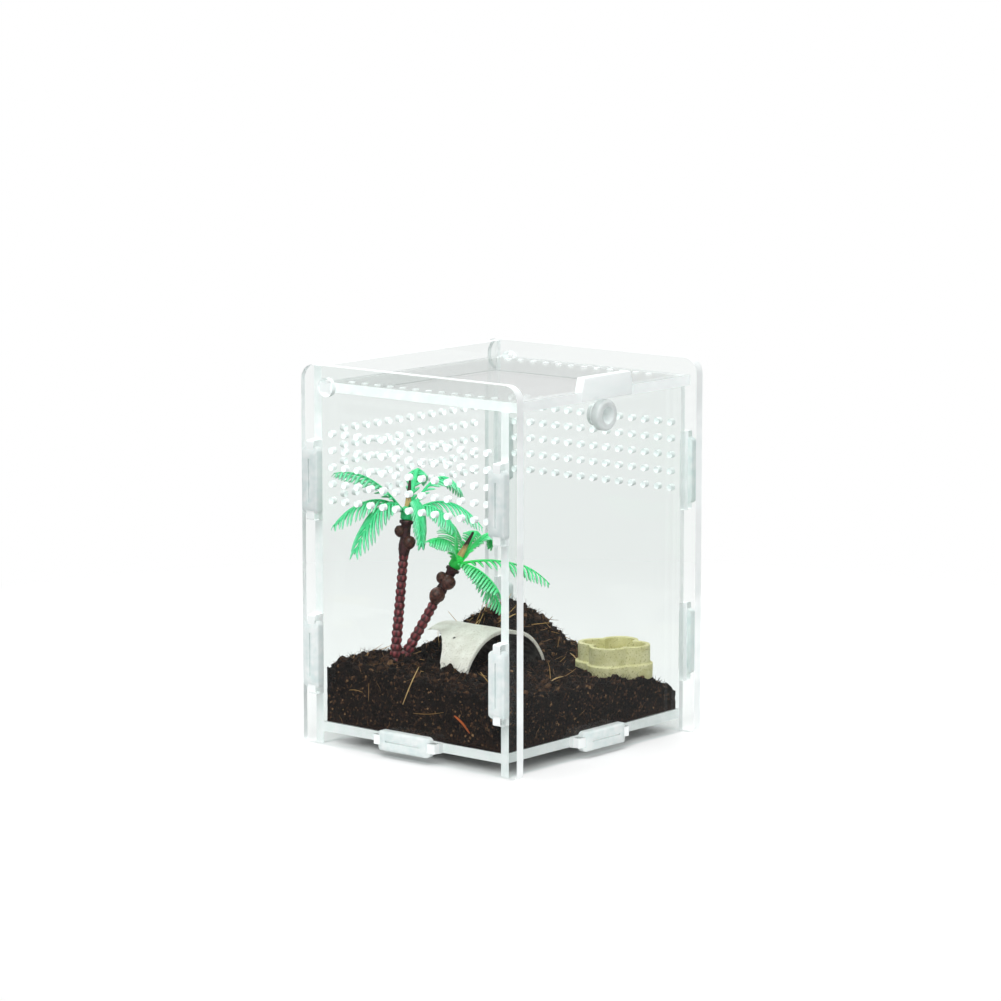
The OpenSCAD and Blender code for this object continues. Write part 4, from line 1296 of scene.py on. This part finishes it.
# The last colour of each is the pale painted highlight on the leaflet tips.
mint_green = frond_finish("mint_green", colour(48, 208, 132), colour(60, 216, 138),
                          colour(108, 248, 182), colour(204, 255, 228))
leaf_green = frond_finish("leaf_green", colour(30, 226, 84), colour(54, 222, 122),
                          colour(104, 248, 170), colour(204, 255, 226))
print("frond finishes:", mint_green.name, leaf_green.name)

# %% Leaflets on ribs
feather = Recipe("leaflets_on_ribs", Leaflet=leaflet, Width=1.0)
aim = feather.add("FunctionNodeAxesToRotation", {"primary_axis": "X", "secondary_axis": "Z"},
                  {"Primary Axis": feather.named("aim"), "Secondary Axis": feather.named("up")})
span = feather.named("span", "FLOAT")
blade = feather.add("ShaderNodeCombineXYZ", None,
                    {"X": span, "Y": feather.inputs["Width"] * feather.named("girth", "FLOAT"),
                     "Z": span})
feather.done(feather.instances(feather.mesh_of("Leaflet"), aim, Scale=blade), mint_green)


def rib_mesh(name, share, lift, sag):
    rings, sides, joints = [], 8, 22
    for k in range(joints + 1):
        u = 0.02 + k / joints
        here = rib_point(share, lift, sag, u)
        ahead = rib_point(share, lift, sag, u + 0.01)
        forward = (ahead - here).normalized()
        over = forward.cross(BACK)
        wide = 0.9 * (1 - 0.7 * k / joints)
        rings.append([here + BACK * wide * cos(a) + over * 0.45 * wide * sin(a)
                      for a in (2 * pi * s / sides for s in range(sides))])
    return swept(name, rings)


def crown(which, node, name, material):
    foot, rise = palms[which]
    axes = crown_frame(foot, rise)
    jitter = random.Random(len(name))
    rows, meshes = [], []
    for bearing, share, lift, sag in fronds[which]:
        turn = axes @ Matrix.Rotation(radians(bearing), 4, "Z")
        straight = turn.to_3x3()
        rib = rib_mesh(name + "_rib", share, lift, sag)
        write(rib, "far", [vertex.co.x / (REACH * share) for vertex in rib.vertices])
        set_in(rib, turn, material)
        meshes.append(rib)
        for k in range(LEAFLETS):
            for side in (-1, 1):
                u = (k + 0.5 + 0.12 * jitter.uniform(-1, 1)) / LEAFLETS
                here = rib_point(share, lift, sag, u)
                tip = leaflet_tip(share, lift, sag, u, side)
                reach = (tip - here) * jitter.uniform(0.9, 1.02)
                ahead = rib_point(share, lift, sag, u + 0.01) - here
                rows.append(((turn @ (here + BACK * side * 0.2)) * MM,
                             straight @ reach.normalized(),
                             straight @ FRONT.cross(ahead).normalized(),
                             reach.length * MM, jitter.uniform(0.98, 1.16) * MM, u))
    places, *carried = zip(*rows)
    base = points(name + "_leaflets", places,
                  **dict(zip(("aim", "up", "span", "girth", "far"), carried)))
    leaves = feather.make(base, Width=0.95)
    wear(leaves.data, material)
    hub_rows = [(1.5, 0.05, 0), (1.88, 0.5, 0.2), (1.85, 2.2, 0.4), (1.5, 3.3, 0.8),
                (1.1, 3.95, 0.4), (0.95, 3.98, 0)]
    hub = turned(name + "_hub", hub_rows, 32, 8, 0.08)
    set_in(hub, axes, material)
    meshes += [hub, leaves.data]
    discard(leaves)
    thing = merged(name, meshes)
    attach(thing, "case")
    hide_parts(node)
    tell(thing)


crown("tall", "tall_palm_crown", "tall_crown", mint_green)
crown("short", "short_palm_crown", "short_crown", leaf_green)
discard(leaflet)

# %% [markdown]
# ## Hide and water dish
# Both are cast in resin with a stone grain. Their solids give the shape. A copy is remeshed into
# a fine even surface, its edges are softened, and a gentle noise makes its walls uneven. The hide's
# hollow side is painted dark as painted shade, and a small dark spot of painted shade stands for a
# pit.

# %% Resin finishes
# Centre of a small dark spot of painted shade that stands for a pit in the hide's back, in
# millimetres.
PIT_SHADE_SPOT = (-8.74, 10.0, 29.43)


def resin(name, shade_dark, shade_light, speck, grain_size, inside=None):
    finish = Finish(name)
    broad = finish.grain(grain_size * 6, 3)
    grit = finish.grain(grain_size, 3)
    dots = finish.grain(grain_size * 0.8, 0)
    tint = finish.blend(broad.over(0.35, 0.65), shade_dark, shade_light)
    tint = finish.blend(dots.over(0.68, 0.72) * 0.8, tint, speck)
    # Painted shade: the hollow side within the inner radius of the arch's axis, and a small spot
    # round the pit, take the dark colour.
    if inside:
        axis_height, inner_radius, painted_shade = inside
        flat = finish.vector("MULTIPLY_ADD", finish.place, (1000, 0, 1000),
                             (0, 0, -axis_height))
        away = finish.vector("LENGTH", flat, out="Value")
        # Distance to the pit, where a small spot of painted shade goes.
        from_pit_shade = finish.vector("DISTANCE", finish.place, [side * MM for side in PIT_SHADE_SPOT], out="Value")
        unshaded = (away.over(inner_radius, inner_radius + 0.25)
                 * (from_pit_shade / MM + grit * 0.4).over(0.55, 0.75))
        tint = finish.blend(unshaded, painted_shade, tint)
    return finish.show(finish.shade(tint, roughness=0.6 + grit * 0.25,
                                    normal=finish.bump(grit, 0.1, 0.8)))


# The last colour is painted shade for the hide's hollow side and its pit.
hide_resin = resin("hide_resin", colour(226, 223, 213), colour(242, 240, 232),
                   colour(188, 182, 166), 0.5,
                   (HIDE_BASE, HIDE_RADIUS - HIDE_WALL, colour(40, 33, 27)))
dish_resin = resin("dish_resin", colour(206, 202, 146), colour(226, 222, 176),
                   colour(172, 168, 116), 0.6)


def cast_piece(node, name, material, voxel, wobble):
    thing = put(name, joined_copy(node, name))
    even = thing.modifiers.new("even", "REMESH")
    even.mode, even.voxel_size, even.adaptivity = "VOXEL", voxel * MM, 0
    soften = thing.modifiers.new("soften", "SMOOTH")
    soften.factor, soften.iterations = 0.5, 3
    plain(thing)
    outwards = [vertex.normal.copy() for vertex in thing.data.vertices]
    for vertex, way in zip(thing.data.vertices, outwards):
        push = uneven(vertex.co / (3.2 * MM))
        fine_push = uneven(vertex.co / (0.8 * MM), 2)
        vertex.co += way * (wobble * push + 0.25 * wobble * fine_push - 0.02) * MM
    wear(thing.data, material)
    thing.data.shade_smooth()
    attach(thing, "case")
    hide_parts(node)
    tell(thing)


cast_piece("arched_hide", "log_hide", hide_resin, 0.22, 0.05)
cast_piece("water_dish", "lobed_dish", dish_resin, 0.24, 0.07)

# %% [markdown]
# The shapes that were only strewn are taken off the shelf.

# %% Finish
for group in (crumbs, fibres, straws):
    for thing in list(group.objects):
        bpy.data.objects.remove(thing)
    bpy.data.collections.remove(group)
bpy.data.collections.remove(shelf)
